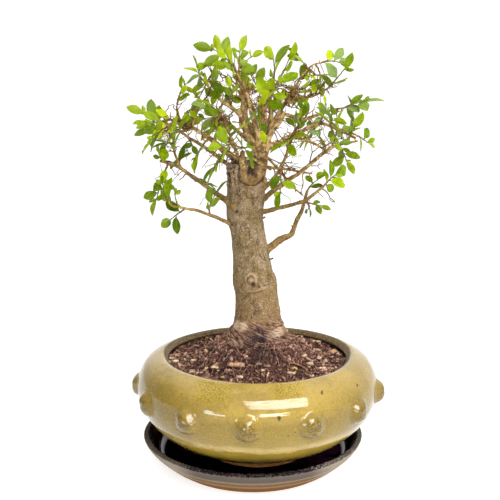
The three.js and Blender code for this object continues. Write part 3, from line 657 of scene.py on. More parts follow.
def leaf_template():
    row = np.arange(LEAF_ROWS)[:, None]
    share = row / (LEAF_ROWS - 1)
    aside = np.abs(LEAF_COLUMNS)[None]
    slant = np.sin(np.pi * share)
    along = PETIOLE_END + (1 - PETIOLE_END) * (share - 0.17 * slant + 0.24 * slant * aside ** 1.2)
    edge, tooth = aside > 0.99, row % 2 == 1
    along = along + np.where(edge, np.where(tooth, 0.018, -0.012), 0)
    width = BLADE_SLIMNESS * np.sin(np.pi * np.clip(share, 0.012, 0.99) ** 0.84) ** 0.78
    width = width * np.where(edge, np.where(tooth, 1.05, 0.91), 1) * LEAF_COLUMNS
    relief = np.where(tooth, -0.09, 0.09) * np.sin(np.pi * aside) - 0.14 * bell(aside, 0.15)
    return along.ravel(), width.ravel(), relief.ravel(), share.repeat(len(LEAF_COLUMNS), 1).ravel()


def leaf_faces():
    count, columns = LEAF_ROWS * len(LEAF_COLUMNS), len(LEAF_COLUMNS)
    top = grid_faces(LEAF_ROWS, columns, closed=False)
    rows = np.arange(LEAF_ROWS)
    border = np.concatenate([np.arange(columns), rows[1:] * columns + columns - 1,
                             count - 2 - np.arange(columns - 1), rows[-2:0:-1] * columns])
    after = np.roll(border, -1)
    rim = np.stack([border, border + count, after + count, after], 1)
    return [top, top[:, ::-1] + count, rim]


BLADE_ALONG, BLADE_WIDTH, BLADE_RELIEF, BLADE_SHARE = leaf_template()
BLADE_FACES = leaf_faces()
BLADE_ROW = np.repeat(np.arange(LEAF_ROWS), len(LEAF_COLUMNS))
BLADE_RIB = np.tile(LEAF_COLUMNS, LEAF_ROWS)


def add_leaf(shape, leaf, rng, tone, bloom):
    depth = rng.uniform(0.15, 0.5)
    wave = depth * np.sin(BLADE_SHARE * rng.uniform(5, 9) + rng.uniform(0, 6)) * BLADE_RIB ** 2
    roll = rng.uniform(-0.12, 0.12) * BLADE_WIDTH * leaf.length * LEAF_HALF_WIDTH
    lift = (BLADE_RELIEF + wave) * leaf.length / LEAF_LENGTH + roll
    half = BLADE_THICKNESS / 2 * np.where(np.abs(BLADE_RIB) > 0.99, 0.6, 1)
    rib = 0.3 * bell(BLADE_RIB, 0.2)
    blade = np.vstack([blade_points(leaf, BLADE_ALONG, BLADE_WIDTH, lift + half),
                       blade_points(leaf, BLADE_ALONG, BLADE_WIDTH, lift - half - rib)])
    under = np.repeat([0.0, 1.0], len(BLADE_ROW))
    shape.add(blade, BLADE_FACES, tone=tone, bloom=bloom, under=under,
              row=np.tile(BLADE_ROW, 2), rib=np.tile(BLADE_RIB, 2))
    reach = np.linspace(0, PETIOLE_END + 0.02, 4)
    stalk = blade_points(leaf, reach, 0 * reach, -0.25)
    stalk[0] = leaf.base
    shape.add_tube(stalk, [0.5, 0.42, 0.38, 0.3], 5, slot=1, green=0.8)


# A stem with a swelling and a bud at each leaf
def add_stem(shape, shoot, rng):
    start = max(shoot.stem_from - (1.2 + 0.45 * shoot.root_radius) / shoot.distance, 0)
    t = np.linspace(start, 1, max(int(shoot.distance * (1 - start) / 1.2), 6))
    points = np.array([shoot.curve.point(at) for at in t])
    share = (t - start) / (1 - start)
    radii = 0.95 - 0.45 * share
    for leaf in shoot.leaves:
        radii = radii + 0.22 * bell((t - leaf.t) * shoot.distance, 0.8)
        bud = leaf.base + 0.4 * unit(leaf.along + leaf.up)
        tip = bud + 1.6 * unit(leaf.along * 0.4 + leaf.up + 0.8 * tangent(shoot.curve, leaf.t))
        shape.add_tube([bud, (bud + tip) / 2, tip], [0.35, 0.5, 0.12], 5, slot=1, green=0.2)
    points[1:-1] += rng.normal(0, 0.12, (len(t) - 2, 3))
    shape.add_tube(points, radii, 7, slot=1, green=smoothstep(share, 0.3, 1.1))


def side_leaf(shoot, t, side, lean, length):
    heading, sideways, upward = stem_axes(shoot, t)
    angle = side * 0.9
    along = unit(heading * math.cos(angle) + sideways * math.sin(angle) + upward * lean)
    across = unit(np.cross(along, upward))
    return SimpleNamespace(t=t, along=along, across=across, up=np.cross(across, along), length=length,
                           base=shoot.curve.point(t))


# Light, dark and pale leaves: outer ones on the right are pale, low ones are darker
def leaf_tone(leaf, rng):
    middle = leaf.base + leaf.along * leaf.length / 2
    depth = np.linalg.norm((middle - CROWN_CENTRE) / (110, 90, 105))
    tone = 0.5 + 0.35 * (depth - 0.8) + 0.0012 * (middle[2] - 320) + rng.normal(0, 0.2)
    right = smoothstep(middle[0], 30, 110) * smoothstep(middle[2], 290, 350)
    bloom = float(rng.random() < 0.06 + 0.42 * right) * rng.uniform(0.4, 0.9)
    return np.clip(tone, 0.02, 1), bloom


def small_shoot(rng, root, radius):
    outward = unit(root - CROWN_CENTRE + (0, 0, 25))
    heading = unit(outward * 0.7 + rng.normal(0, 0.6, 3))
    length = rng.uniform(9, 20)
    tip = root + heading * length
    bend = root + unit(heading + rng.normal(0, 0.4, 3)) * length / 2
    shoot = SimpleNamespace(distance=length, root_radius=radius, tip=tip, curve=ShootCurve(root, bend, tip))
    shoot.stem_from = min((radius + 1) / length, 0.4)
    shoot.facing = unit(unit(tip - CROWN_CENTRE) + (0, 0, 1) + rng.normal(0, 0.7, 3))
    shoot.leaves = []
    for index in range(rng.integers(2, 5)):
        side = 1 - 2 * (index % 2) if index else 0
        lean, size = rng.uniform(-0.3, 0.3), rng.uniform(9, 14.5)
        shoot.leaves.append(side_leaf(shoot, 1 - 0.22 * index, side, lean, size))
    return shoot


# Short leafy twigs between the shoots, wherever there is room
def grow_small_shoots(rng, wood, taken, wanted):
    spots = wood.pick((wood.radii < 4) & (wood.points[:, 2] > SMALL_SHOOTS_ABOVE))
    shoots = []
    for _ in range(wanted * 12):
        k = rng.integers(len(spots.points))
        root = spots.points[k]
        shoot = small_shoot(rng, root, spots.radii[k])
        blades = [blade_points(leaf, CHECKED[:, 0], CHECKED[:, 1], 0) for leaf in shoot.leaves]
        balls = sum((Balls(blade, 0) for blade in blades), Balls())
        other_wood = wood.pick(np.linalg.norm(wood.points - root, axis=1) > 7)
        if in_crown(balls.points) and balls.clear_of(taken, 3) and balls.clear_of(other_wood, 1):
            taken = taken + balls
            shoots.append(shoot)
        if len(shoots) == wanted:
            break
    return shoots


def in_crown(points):
    away = np.linalg.norm((points - CROWN_CENTRE) / CROWN_REACH, axis=1)
    return bool((away < 1).all() and (points[:, 2] > CROWN_FOOT).all())


# The stem and leaves of one shoot, with young leaves at its tip on the given sides
def add_shoot(shape, shoot, rng, young_sides=()):
    add_stem(shape, shoot, rng)
    young = [side_leaf(shoot, 0.995, side, 0.9, rng.uniform(5, 10)) for side in young_sides]
    for leaf in shoot.leaves + young:
        add_leaf(shape, leaf, rng, *leaf_tone(leaf, rng))


def build_foliage(shoots, extra, leaf_paint, stem_paint):
    tips = np.array([shoot.tip for shoot in shoots])
    shapes = []
    for index, shoot in enumerate(shoots):
        shapes.append(Shape("row", "rib", "under", "tone", "bloom", "green"))
        add_shoot(shapes[index], shoot, np.random.default_rng(100 + index), (-0.7, 0.7))
    for index, shoot in enumerate(extra):
        nearest = int(np.argmin(np.linalg.norm(tips - shoot.tip, axis=1)))
        add_shoot(shapes[nearest], shoot, np.random.default_rng(500 + index))
    for index, shape in enumerate(shapes):
        name = f"{index + 1:02d}"
        make_piece(f"foliage_{name}", shape, [leaf_paint, stem_paint], "leaf", [f"spray_{name}"], sharp=50)


# Stems, folds and lumps that the old cut has besides the limbs: radii and points
CUT_STEMS = [
    ((2.6, 4), [(-10, -11, 321), (-10.8, -15, 313), (-9.6, -16.5, 303), (-7.5, -17, 294), (-5, -16.5, 287)]),
    ((1.8, 1.5), [(-30, -4, 322), (-20, -12, 316), (-11.8, -15.5, 314), (-1, -17, 314), (9, -15, 308),
                  (18, -12, 303)]),
    ((2.4, 2.6), [(-7, -16.5, 290), (-1, -17, 288.5), (6, -15.5, 295), (11, -10.5, 303), (12.5, -5, 312)]),
    ((2.4, 2), [(-4, -15.5, 292), (2, -16, 296), (6.8, -13.5, 303), (8.8, -8, 310)]),
    ((2.4, 2.6), [(-17, -12, 262), (-19.5, -15, 266), (-25, -8, 270), (-32, 0, 275)]),
    ((2.2, 1.9), [(-11.5, -7, 343), (-12, -8, 354), (-10.8, -7, 363), (-8.9, -6, 372)]),
    ((3.3, 2.4), [(3, 2, 322), (-3, 3, 340), (-7, 3, 351), (-8, 3, 363), (-5, 2, 374)]),
    ((2.7, 1.9), [(6, -5, 327), (1.9, -8, 347), (-2, -9, 359), (-4, -10, 370), (-7, -10, 378)]),
    ((2.2, 1.7), [(8, -3, 327), (9.8, -5, 347), (10.7, -6, 359), (9.7, -7, 371), (12, -9, 380)]),
    ((4, 2.6), [(9, -2, 306), (12.8, -3, 324), (16.2, -3, 335), (20.6, -4, 343), (26.4, -5, 350),
                (30.3, -6, 359)]),
    ((2.4, 1.9), [(13, 3, 330), (17.9, 5, 351), (18.8, 6, 361), (21.8, 6, 372)]),
    ((1.6, 1.4), [(2, -7, 327), (8, -9, 331), (14, -7, 336)]),
]
# Lumps of cork: place and radius
CUT_LUMPS = [
    ((-15, -7, 303), 7), ((-20, -2, 298), 6.5), ((-13, 4, 307), 7.5), ((-19, 6, 300), 7), ((-5, 8, 305), 8),
    ((-22, 2, 287), 5), ((-17, -8, 292), 6), ((-23, -3, 306), 4), ((-15, -3, 311), 5), ((2, 2, 316), 6.5),
    ((6, -4, 325), 4.5), ((9, -9, 292), 5), ((-16.8, -14, 262), 4), ((5, -12, 266), 5),
    ((-15.5, -4, 197.5), 5.4),
]
# Hollows in the bark: place, size and depth
HOLLOWS = [
    ((-0.5, -15, 304), (3.6, 8, 6), 4.5), ((3, -15, 297), (2.4, 8, 3), 1.5),
    ((-16, -18, 262), (2.6, 6, 2.2), 1), ((20, -2, 181), (3, 8, 1.2), 1), ((-4, -16, 302), (1.6, 6, 6), 1.6),
]
# Knobs where twigs were pruned, and raw wood in the old cut: place and radius
KNOBS = [
    ((-6, -2, 380), 4.5), ((-11, -6, 374), 3.5), ((14, -14, 376), 4), ((35, 0, 370), 4.5),
    ((40, -4, 377), 3.5), ((-67, -23, 350), 3.5), ((-29, -27, 350), 2.8),
]
RAW_WOOD = [((0, -15, 303), 6), ((-7, -16, 290), 4)]
# The scar of a lost limb low on the trunk
TRUNK_SCAR = np.array((-2, -21, 193.8))
SCAR_NOTCH = TRUNK_SCAR + (2.4, 1, -4.6)
SCAR_RADIUS = 4.6
# Creases round the trunk: height, depth, slope, and where they are strongest across
CREASES = [
    (182.8, 0.8, 0.15, 4, 16), (187.3, 0.6, 0.14, 14, 9), (219.8, 0.6, 0.12, -8, 9),
    (216.5, 0.4, -0.1, 0, 12), (236, 0.3, -0.06, 0, 20), (164, 0.25, 0.04, 0, 20),
]
# Short stubs on the right side of the trunk
TRUNK_STUBS = [((15, -4, 211), (20.5, -4, 213)), ((8, -4, 253), (12.5, -4, 255))]
# Places in the list of limbs of those that are thinned or led in their own way
NECK = 0
CUT_LIMBS = range(1, 9)
LOW_RIGHT_LIMB = 21
LOW_RIGHT_ROUTE = [
    (8, 0, 216), (27, 4, 230), (38, 8, 234.5), (41, 9.5, 239), (44, 11, 247), (50, 12, 260), (55, 9, 280),
]
FRONT_TWIG = 29
TRUNK_FOOT, TRUNK_TOP = 104, 308
TRUNK_SIDES = 72
ROOT_COUNT = 11
# Size of the grid that joins the wood, and the least radius that it keeps
VOXEL = 1.0
REMESH_LEAST = 1.55
LIMB_SIDES = 14
LUMP_ROWS, LUMP_SIDES = 14, 16
# Fine wood: how many crown twigs and trunk stubs there are, and the thickest wood that they grow on
CROWN_TWIG_COUNT = 380
CROWN_TWIGS_ABOVE = 282
STUB_COUNT = 170
TWIG_HOST_RADIUS = 4.5


def trunk_rings():
    heights = np.arange(TRUNK_FOOT, TRUNK_TOP + 1, 1.5)
    rows = np.array(TRUNK_ROWS, float)
    centre, half = (np.interp(heights, rows[:, 0], rows[:, k]) for k in (1, 2))
    blur = np.ones(5) / 5
    half[2:-2], centre[2:-2] = (np.convolve(row, blur, "valid") for row in (half, centre))
    angle = np.arange(TRUNK_SIDES) * 2 * np.pi / TRUNK_SIDES
    lobes = np.cos(5 * angle + 0.6) + 0.6 * np.cos(3 * angle - 1.1)
    flare = 1 - smoothstep(heights, 124, 152)
    radius = half[:, None] * (1 + 0.1 * flare[:, None] * lobes)
    x = centre[:, None] + radius * np.cos(angle)
    y = radius * np.sin(angle)
    z = np.broadcast_to(heights[:, None], x.shape)
    return np.stack([x, y, z], -1).reshape(-1, 3), len(heights), len(angle)


def add_lump(shape, centre, radius, rng):
    z = np.cos(np.linspace(0.15, np.pi - 0.15, LUMP_ROWS))
    turn = np.arange(LUMP_SIDES) * 2 * np.pi / LUMP_SIDES
    ring = np.sqrt(1 - z * z)[:, None]
    rise = np.repeat(z[:, None], LUMP_SIDES, 1) * 0.85
    ball = np.stack([ring * np.cos(turn), ring * np.sin(turn), rise], -1).reshape(-1, 3)
    ball = ball * (1 + 0.14 * noise(ball, 0.5, int(rng.integers(99))))[:, None]
    add_closed_rings(shape, np.array(centre) + ball * radius, LUMP_ROWS, LUMP_SIDES)


# A limb's centre line, slightly crooked, with its radii
def limb_line(limb, number):
    if number == LOW_RIGHT_LIMB:
        points = run_through(LOW_RIGHT_ROUTE, 2)
    else:
        points = np.array([limb.curve.point(t) for t in np.linspace(0, 1, limb.curve.spans * 10 + 1)])
    share = np.linspace(0, 1, len(points))
    radii = limb.root_radius + (limb.tip_radius - limb.root_radius) * share
    crook = np.stack([noise(points, 9, 40 + k + 3 * number) for k in range(3)], 1)
    points = points + 0.7 * crook * np.sin(np.pi * share)[:, None]
    if number == NECK:
        points, radii = points + (2, 0, 0), radii * (0.52 - 0.12 * share)
    elif number in CUT_LIMBS:
        radii = radii * (0.6 + 0.3 * share)
    elif number == FRONT_TWIG:
        radii = radii * (0.5 + 0.4 * share)
    elif number == LOW_RIGHT_LIMB:
        radii = radii * (1 - 0.2 * share)
    else:
        radii = radii * 0.92
    if number != NECK:
        radii = radii * (1 - 0.35 * smoothstep(points[:, 2], 345, 385))
    nodes = bell((np.arange(1, len(points) + 1) + number) % 4 - 2, 0.8)
    return points, radii * (0.96 + 0.1 * noise(points, 6, 400 + number) + 0.1 * nodes)


def root_lines(rng):
    lines = []
    for k in range(ROOT_COUNT):
        angle = 2 * np.pi * (k + rng.uniform(0.1, 0.9)) / ROOT_COUNT
        bend = angle + rng.uniform(-0.35, 0.35)
        reach = rng.uniform(46, 66)
        around = [(11, 146), (21, 132), (32, 122), (reach * 0.8, 115), (reach, 107)]
        turns = np.linspace(angle, bend, len(around))
        lines.append([(3 + r * math.cos(a), r * math.sin(a), z) for (r, z), a in zip(around, turns)])
    return lines


# The wood joined into one smooth skin
def remeshed(shape):
    mesh = mesh_of(shape, "wood_source")
    face_out(mesh)
    source = bpy.data.objects.new("wood_source", mesh)
    bpy.context.scene.collection.objects.link(source)
    remesh = source.modifiers.new("remesh", "REMESH")
    remesh.mode, remesh.voxel_size, remesh.adaptivity = "VOXEL", VOXEL / 1000, 0
    smooth = source.modifiers.new("smooth", "SMOOTH")
    smooth.factor, smooth.iterations = 0.5, 2
    result = bpy.data.meshes.new_from_object(source.evaluated_get(bpy.context.evaluated_depsgraph_get()))
    bpy.data.objects.remove(source)
    bpy.data.meshes.remove(mesh)
    return result


def read_vectors(data, name):
    flat = np.empty(len(data) * 3, np.float32)
    data.foreach_get(name, flat)
    return flat.reshape(-1, 3).astype(float)


# Radius of the limb that each point belongs to
def girth_at(points, centres, radii):
    girth = np.full(len(points), 20.0)
    rows = np.array(TRUNK_ROWS, float)
    centre = np.interp(points[:, 2], rows[:, 0], rows[:, 1])
    half = np.interp(points[:, 2], rows[:, 0], rows[:, 2])
    best = np.hypot(points[:, 0] - centre, points[:, 1]) - half + np.maximum(points[:, 2] - TRUNK_TOP, 0)
    for place, radius in zip(centres, radii):
        near = np.abs(points[:, 2] - place[2]) < radius + 8
        gap = np.linalg.norm(points[near] - place, axis=1) - radius
        closer = gap < best[near]
        index = np.flatnonzero(near)[closer]
        best[index], girth[index] = gap[closer], radius
    return girth


# The reliefs of the bark. Each says how far the surface moves out and how deep a point lies.
def bark_relief(points, girth, trunk):
    share = np.clip(girth / 9, 0.12, 1)
    move = share * (0.8 * noise(points, 21, 1) + 0.55 * noise(points, 8, 2) + 0.35 * noise(points, 3.2, 3))
    move += 0.12 * noise(points, 1.6, 4)
    upper = smoothstep(points[:, 2], 225, 250)
    ridges = noise(points * (1, 1, 0.4), 3.4, 5)
    move += trunk * (0.3 + 0.35 * upper) * ridges
    return move, -0.5 * trunk * upper * ridges


def add_creases(points, trunk, move, pit):
    x, _, z = points.T
    for level, depth, tilt, middle, reach in CREASES:
        line = level + tilt * x + noise(points * (1, 1, 0), 14, int(level))
        groove = bell(z - line, 0.9) - 0.8 * bell(z - line + 1.9, 0.9)
        crease = trunk * bell(x - middle, reach) * depth * groove
        move, pit = move + crease, pit - crease
    return move, pit


# Ragged cork and hollows round the old cut
def add_cork(points, girth, move, pit):
    x, _, z = points.T
    cork = smoothstep(z, 282, 296) * smoothstep(-x, 7, 13) * smoothstep(girth, 3, 5)
    lumps = 2 * np.abs(noise(points, 4.2, 6)) - 0.6 + 1.1 * noise(points, 2.2, 7)
    move, pit = move + cork * lumps, pit - 0.9 * cork * lumps
    for centre, size, depth in HOLLOWS:
        dent = bell(np.linalg.norm((points - centre) / size, axis=1), 0.9)
        move, pit = move - depth * dent, pit + 1.3 * dent
    return move, pit, cork


# The fibrous foot, its fibres running down to the right, with soil stuck to its front
def add_foot(points, front, move, pit):
    x, y, z = points.T
    arc = 30 * np.arctan2(y, x - 3)
    foot = 1 - smoothstep(z, 130, 154)
    strands = np.column_stack([arc * 0.2, np.hypot(x - 3, y) * 0.3, z + 0.45 * arc])
    fibres = 1.1 * noise(strands, 2.8, 8) + 0.6 * noise(strands, 1.3, 9)
    heap = bell(x - 7, 6 + 0.5 * (148 - z)) * smoothstep(-z, -150, -143)
    soiled = np.clip(front * (heap * (1.3 + 1.1 * noise(points, 5, 10))), 0, 1)
    move, pit = move + foot * (1 - 0.6 * soiled) * fibres, pit - 0.8 * foot * fibres
    move += soiled * (0.9 * noise(points, 3.4, 12) + 0.5 * noise(points, 1.8, 13) - 0.5)
    return move, pit, soiled


# The scar of the lost limb: a knob in a shell that is open at its lower right
def add_scar(points, front, move, pit):
    away = np.linalg.norm(points - TRUNK_SCAR, axis=1) + 0.8 * noise(points, 4, 11)
    above = smoothstep(points[:, 2] - TRUNK_SCAR[2], -3, 3)
    scar = bell(away, 1.9) - 0.8 * bell(away - 3.4, 1) + (0.5 + 0.6 * above) * bell(away - 5.2, 1.1)
    notch = bell(np.linalg.norm(points - SCAR_NOTCH, axis=1), 2)
    scar -= 0.4 * (1 - above) * bell(away - 7, 1.1) + 1.8 * notch
    return move + front * scar, pit - 0.8 * front * scar


def carve(points, normals, girth):
    trunk = smoothstep(girth, 8, 16)
    front = smoothstep(-points[:, 1], 2, 12)
    move, pit = bark_relief(points, girth, trunk)
    move, pit = add_creases(points, trunk, move, pit)
    move, pit, cork = add_cork(points, girth, move, pit)
    move, pit, soiled = add_foot(points, front, move, pit)
    move, pit = add_scar(points, front, move, pit)
    return points + normals * move[:, None], pit, cork, soiled


# All the wood as separate shapes, with the centre lines and radii of its limbs and stems
def wood_shape(limbs):
    rng = np.random.default_rng(7)
    shape = Shape()
    add_closed_rings(shape, *trunk_rings())
    centres, radii = [], []
    for number, limb in enumerate(limbs):
        points, sizes = limb_line(limb, number)
        thick = sizes > REMESH_LEAST
        if thick.sum() > 3:
            shape.add_tube(points[thick], sizes[thick], LIMB_SIDES)
        centres += list(points)
        radii += list(sizes)
    for (first, last), points in CUT_STEMS:
        line = run_through(points, 2)
        shape.add_tube(line, np.linspace(first, last, len(line)), LIMB_SIDES)
        centres += list(line)
        radii += [first] * len(line)
    for line in root_lines(rng):
        line = run_through(line, 3)
        shape.add_tube(line, np.linspace(6, 1.6, len(line)), 12)
    for centre, radius in CUT_LUMPS + KNOBS + [(TRUNK_SCAR, SCAR_RADIUS)]:
        add_lump(shape, centre, radius, rng)
    return shape, np.array(centres), np.array(radii)


def build_wood(limbs, paint):
    shape, centres, radii = wood_shape(limbs)
    mesh = remeshed(shape)
    points, normals = read_vectors(mesh.vertices, "co") * 1000, read_vectors(mesh.vertex_normals, "vector")
    girth = girth_at(points, centres, radii)
    knob = np.max([bell(np.linalg.norm(points - centre, axis=1), 1.3 * radius)
                   for centre, radius in KNOBS + RAW_WOOD], axis=0)
    points, pit, cork, soiled = carve(points, normals, girth)
    mesh.vertices.foreach_set("co", (points / 1000).astype(np.float32).ravel())
    mesh.update()
    for name, values in (("girth", girth), ("knob", knob), ("pit", pit), ("cork", cork), ("soiled", soiled)):
        note_values(mesh, name, values)
    return place("trunk_and_limbs", mesh, [paint], "bark", ["wood"])


# A crooked line of points that sets out along a heading
def zigzag(rng, start, heading, length, step=3.5, wander=0.35):
    points, at = [start], np.array(start, float)
    for _ in range(max(int(length / step), 2)):
        heading = unit(heading + rng.normal(0, wander, 3))
        at = at + heading * step
        points.append(at)
    return np.array(points)


def add_twig(shape, rng, start, heading, length, radius, dead, branches=0, knob=0.0):
    line = resample(zigzag(rng, start, heading, length), 1.5)
    shape.add_tube(line, np.linspace(radius, radius * 0.45, len(line)), 5, girth=radius, dead=dead, knob=knob)
    for _ in range(branches):
        k = rng.integers(len(line) // 3, len(line))
        side = unit(heading + rng.normal(0, 0.8, 3))
        add_twig(shape, rng, line[k], side, length * rng.uniform(0.3, 0.6), radius * 0.7, dead, 0, knob)


# The thin ends of the limbs. Gives the centre lines and radii of all limbs.
def add_limb_ends(shape, limbs):
    lines = [limb_line(limb, number) for number, limb in enumerate(limbs)]
    for number, (points, radii) in enumerate(lines):
        thin = radii < REMESH_LEAST + 0.35
        if thin.sum() > 1:
            line = resample(np.column_stack([points[thin], radii[thin]]), 1.5)
            lumpy = 1 + 0.12 * noise(line[:, :3], 3, number)
            shape.add_tube(line[:, :3], line[:, 3] * lumpy, 9, girth=line[:, 3])
    return lines


# The woody twigs that carry the long shoots. Gives their centre lines and radii.
def add_shoot_twigs(shape, rng, shoots):
    lines = []
    for number, shoot in enumerate(shoots):
        if shoot.is_long:
            t = np.linspace(0, shoot.split + 1 / shoot.distance, max(int(shoot.distance / 2), 5))
            line = np.array([shoot.curve.point(at) for at in t])
            line[1:-1] += rng.normal(0, 0.2, (len(t) - 2, 3))
            radii = np.linspace(min(max(shoot.root_radius * 0.8, 1), 1.4), 0.9, len(t))
            shape.add_tube(line, radii * (1 + 0.12 * noise(line, 3, number)), 8, girth=radii)
            lines.append((line, radii))
    return lines


def add_crown_twigs(shape, rng, places, ways, spots):
    for _ in range(CROWN_TWIG_COUNT):
        k = rng.choice(spots)
        outward = unit(places[k] - CROWN_CENTRE)
        heading = unit(ways[k] * 0.4 + outward * 0.4 + rng.normal(0, 0.6, 3))
        length = rng.uniform(8, 32)
        if in_crown((places[k] + heading * length)[None]):
            radius, dead = rng.uniform(0.35, 0.8), rng.uniform(0, 0.8)
            add_twig(shape, rng, places[k], heading, length, radius, dead, rng.integers(0, 3))


# Thickets of short reddish stubs round the knobs
def add_thickets(shape, rng):
    for centre, radius in KNOBS:
        for _ in range(int(5 * radius)):
            start = centre + rng.normal(0, 1, 3) * (1.3 * radius, radius, 0.9 * radius)
            heading = unit(unit(start - centre) * 0.5 + rng.normal(0, 0.6, 3) + (0, -0.1, 0.8))
            length, thickness = rng.uniform(5, 11), rng.uniform(0.6, 1.2)
            add_twig(shape, rng, start - heading * 2, heading, length, thickness, 0.1, 1, 0.9)


# Short dead stubs that stand off the wood
def add_stubs(shape, rng, places, ways, sizes, spots):
    for _ in range(STUB_COUNT):
        k = rng.choice(spots)
        heading = unit(np.cross(ways[k], rng.normal(0, 1, 3)) + 0.3 * ways[k])
        line = places[k] + np.outer([0, sizes[k] + 0.4, sizes[k] + rng.uniform(1.2, 3)], heading)
        shape.add_tube(line, [0.7, 0.5, 0.15], 5, girth=1, dead=0.7)


# Thin wood: ends of limbs, twigs under the long shoots, dead twigs and stubs
def build_twigs(limbs, shoots, paint):
    rng = np.random.default_rng(11)
    shape = Shape("girth", "dead", "knob")
    for start, end in TRUNK_STUBS:
        shape.add_tube(np.linspace(start, end, 4), [1.3, 0.9, 0.8, 0.9], 6, girth=1, dead=0.9)
    lines = add_limb_ends(shape, limbs) + add_shoot_twigs(shape, rng, shoots)
    places = np.vstack([line for line, _ in lines])
    ways = np.vstack([np.gradient(line, axis=0) for line, _ in lines])
    sizes = np.hstack([radii for _, radii in lines])
    ways /= np.linalg.norm(ways, axis=1)[:, None]
    clear_of_trunk = np.hypot(places[:, 0], places[:, 1]) > 17
    open_wood = (sizes < TWIG_HOST_RADIUS) & clear_of_trunk
    high_wood = open_wood & (places[:, 2] > CROWN_TWIGS_ABOVE)
    add_crown_twigs(shape, rng, places, ways, np.flatnonzero(high_wood))
    add_thickets(shape, rng)
    add_stubs(shape, rng, places, ways, sizes, np.flatnonzero(open_wood))
    return make_piece("twigs", shape, [paint], "bark")


# The soil heaped against the front of the trunk
HEAP_X = 6
HEAP_HEIGHT = 5
# How much higher the soil lies along the back of the pot
BACK_RISE = 3
SOIL_SIDES = 200

# Large chips: place, length, width, turn in degrees, tint
LARGE_CHIPS = [
    (-21, -52, 17, 7, 5, 0.5), (-17, -64, 5.5, 5, 0, 0.7), (-42, -45, 8, 5.5, -10, 0.64),
    (-50, -41, 4.5, 4.5, 0, 0.68), (-65, -12, 7.5, 4, -5, 0.64), (-84, -7, 6, 5, 0, 0.7),
    (-90, 4, 5, 5, 30, 0.6), (-84, 18, 3.5, 3, 0, 0.66), (-65, -41, 4.5, 3, 0, 0.62),
    (-55, -44, 3.5, 3, 0, 0.6), (1, -54, 6, 4, 10, 0.62), (9, -55, 6, 4, -8, 0.6),
    (5, -59, 4, 4, 0, 0.66), (82, 27, 9, 6, 35, 0.5), (47, -27, 5, 5, 60, 0.64), (52, -33, 7.5, 5, -20, 0.7),
    (64, -7, 5, 5, 0, 0.7), (70, -7, 5, 5, 20, 0.72), (64, -30, 10, 4, 5, 0.66), (36, -49, 5.5, 4.5, 0, 0.92),
    (32, -56, 9, 4, -5, 0.7), (41, 84, 6, 4, -15, 0.74), (49, 77, 7, 3, 0, 0.66), (66, 60, 8, 4, 5, 0.62),
    (86, 20, 3.5, 3.5, 0, 0.8), (-33, -60, 5, 3, 20, 0.6), (12, -74, 5, 3, 0, 0.66),
]
# What a chip's length and width are multiplied by
CHIP_LENGTH_SCALE, CHIP_WIDTH_SCALE = 0.9, 1.1
# Roots that lie on the soil: radius and points
LONG_ROOTS = [
    (0.75, [(22, -40), (30, -46), (38, -44), (48, -44)]), (0.6, [(10, -41), (18, -37), (29, -31)]),
    (0.8, [(30, 12), (37, -4), (44, -22)]), (0.5, [(-30, -36), (-36, -28), (-40, -16)]),
    (0.5, [(8, -44), (10, -50), (9, -56)]), (0.45, [(-12, -46), (-20, -42), (-24, -36)]),
]
ROOTLET_COUNT = 1300
ROOTLET_TINTS = [0.04, 0.16, 0.24, 0.32, 0.4]

# Kinds of loose litter: count, least and greatest size, proportions, tints, lift, share of tilt
DARK_TINTS, BROWN_TINTS = [0.0, 0.04, 0.1, 0.16], [0.2, 0.28, 0.36]
LITTER = [
    (2600, (1, 3), (1.5, 0.8, 0.7), DARK_TINTS, 0.5, 1),
    (2200, (1, 2.8), (1.7, 0.7, 0.5), DARK_TINTS + BROWN_TINTS, 0.6, 0.6),
    (420, (3, 6), (1.5, 0.7, 0.5), [0.04, 0.16, 0.28, 0.38], 0.6, 0.5),
    (90, (4, 7), (1.3, 0.7, 0.3), [0.2, 0.36, 0.44, 0.54], 0.8, 0.35),
    (420, (1.2, 3), (1.4, 0.8, 0.5), [0.36, 0.4, 0.44, 0.5, 0.6, 0.7], 1, 1),
]
LITTER_REACH = 95
LUMP_POINTS = 12


def mound_height(x, y):
    radius = np.hypot(x, y)
    heap = HEAP_HEIGHT * bell(x - HEAP_X, 14) * smoothstep(-y, 52, 28) * smoothstep(-y, 0, 20)
    mound = SOIL_MOUND * (1 - smoothstep(radius, MOUND_TOP_RADIUS, MOUND_FOOT_RADIUS))
    return POT_BASE + SOIL_EDGE + mound + heap + BACK_RISE * smoothstep(y, 30, 80)


# The bed of soil as one closed body: its rough top, and its sides along the inside of the pot
def build_soil_bed(paint):
    top = np.linspace(0.5, 98, 62)
    wall = [(r - 0.3, z) for r, z in POT_INSIDE if z < SOIL_EDGE - 1]
    wall = run_through([(98.6, SOIL_EDGE - 0.5), *wall[:-1]], 6)
    floor = np.array([(40, 14.3), (25.3, 14.3), (24.3, 15.6), (0.5, 15.6)])
    angle = np.arange(SOIL_SIDES) * 2 * np.pi / SOIL_SIDES
    rows = []
    for radius in top:
        x, y = radius * np.cos(angle), radius * np.sin(angle)
        flat = np.column_stack([x, y, np.zeros(SOIL_SIDES)])
        rough = 0.9 * noise(flat, 9, 21) + 0.9 * noise(flat, 4, 22) + 0.5 * noise(flat, 2, 23)
        edge = 1 - smoothstep(radius, 92, 98)
        rows.append(np.column_stack([x + POT_X, y, mound_height(x, y) + rough * edge - 0.8]))
    for radius, height in [*wall, *floor]:
        rows.append(np.column_stack([radius * np.cos(angle) + POT_X, radius * np.sin(angle),
                                     np.full(SOIL_SIDES, POT_BASE + height)]))
    shape = Shape()
    add_closed_rings(shape, np.vstack(rows), len(rows), SOIL_SIDES)
    return make_piece("soil_bed", shape, [paint], "soil", ["soil"])


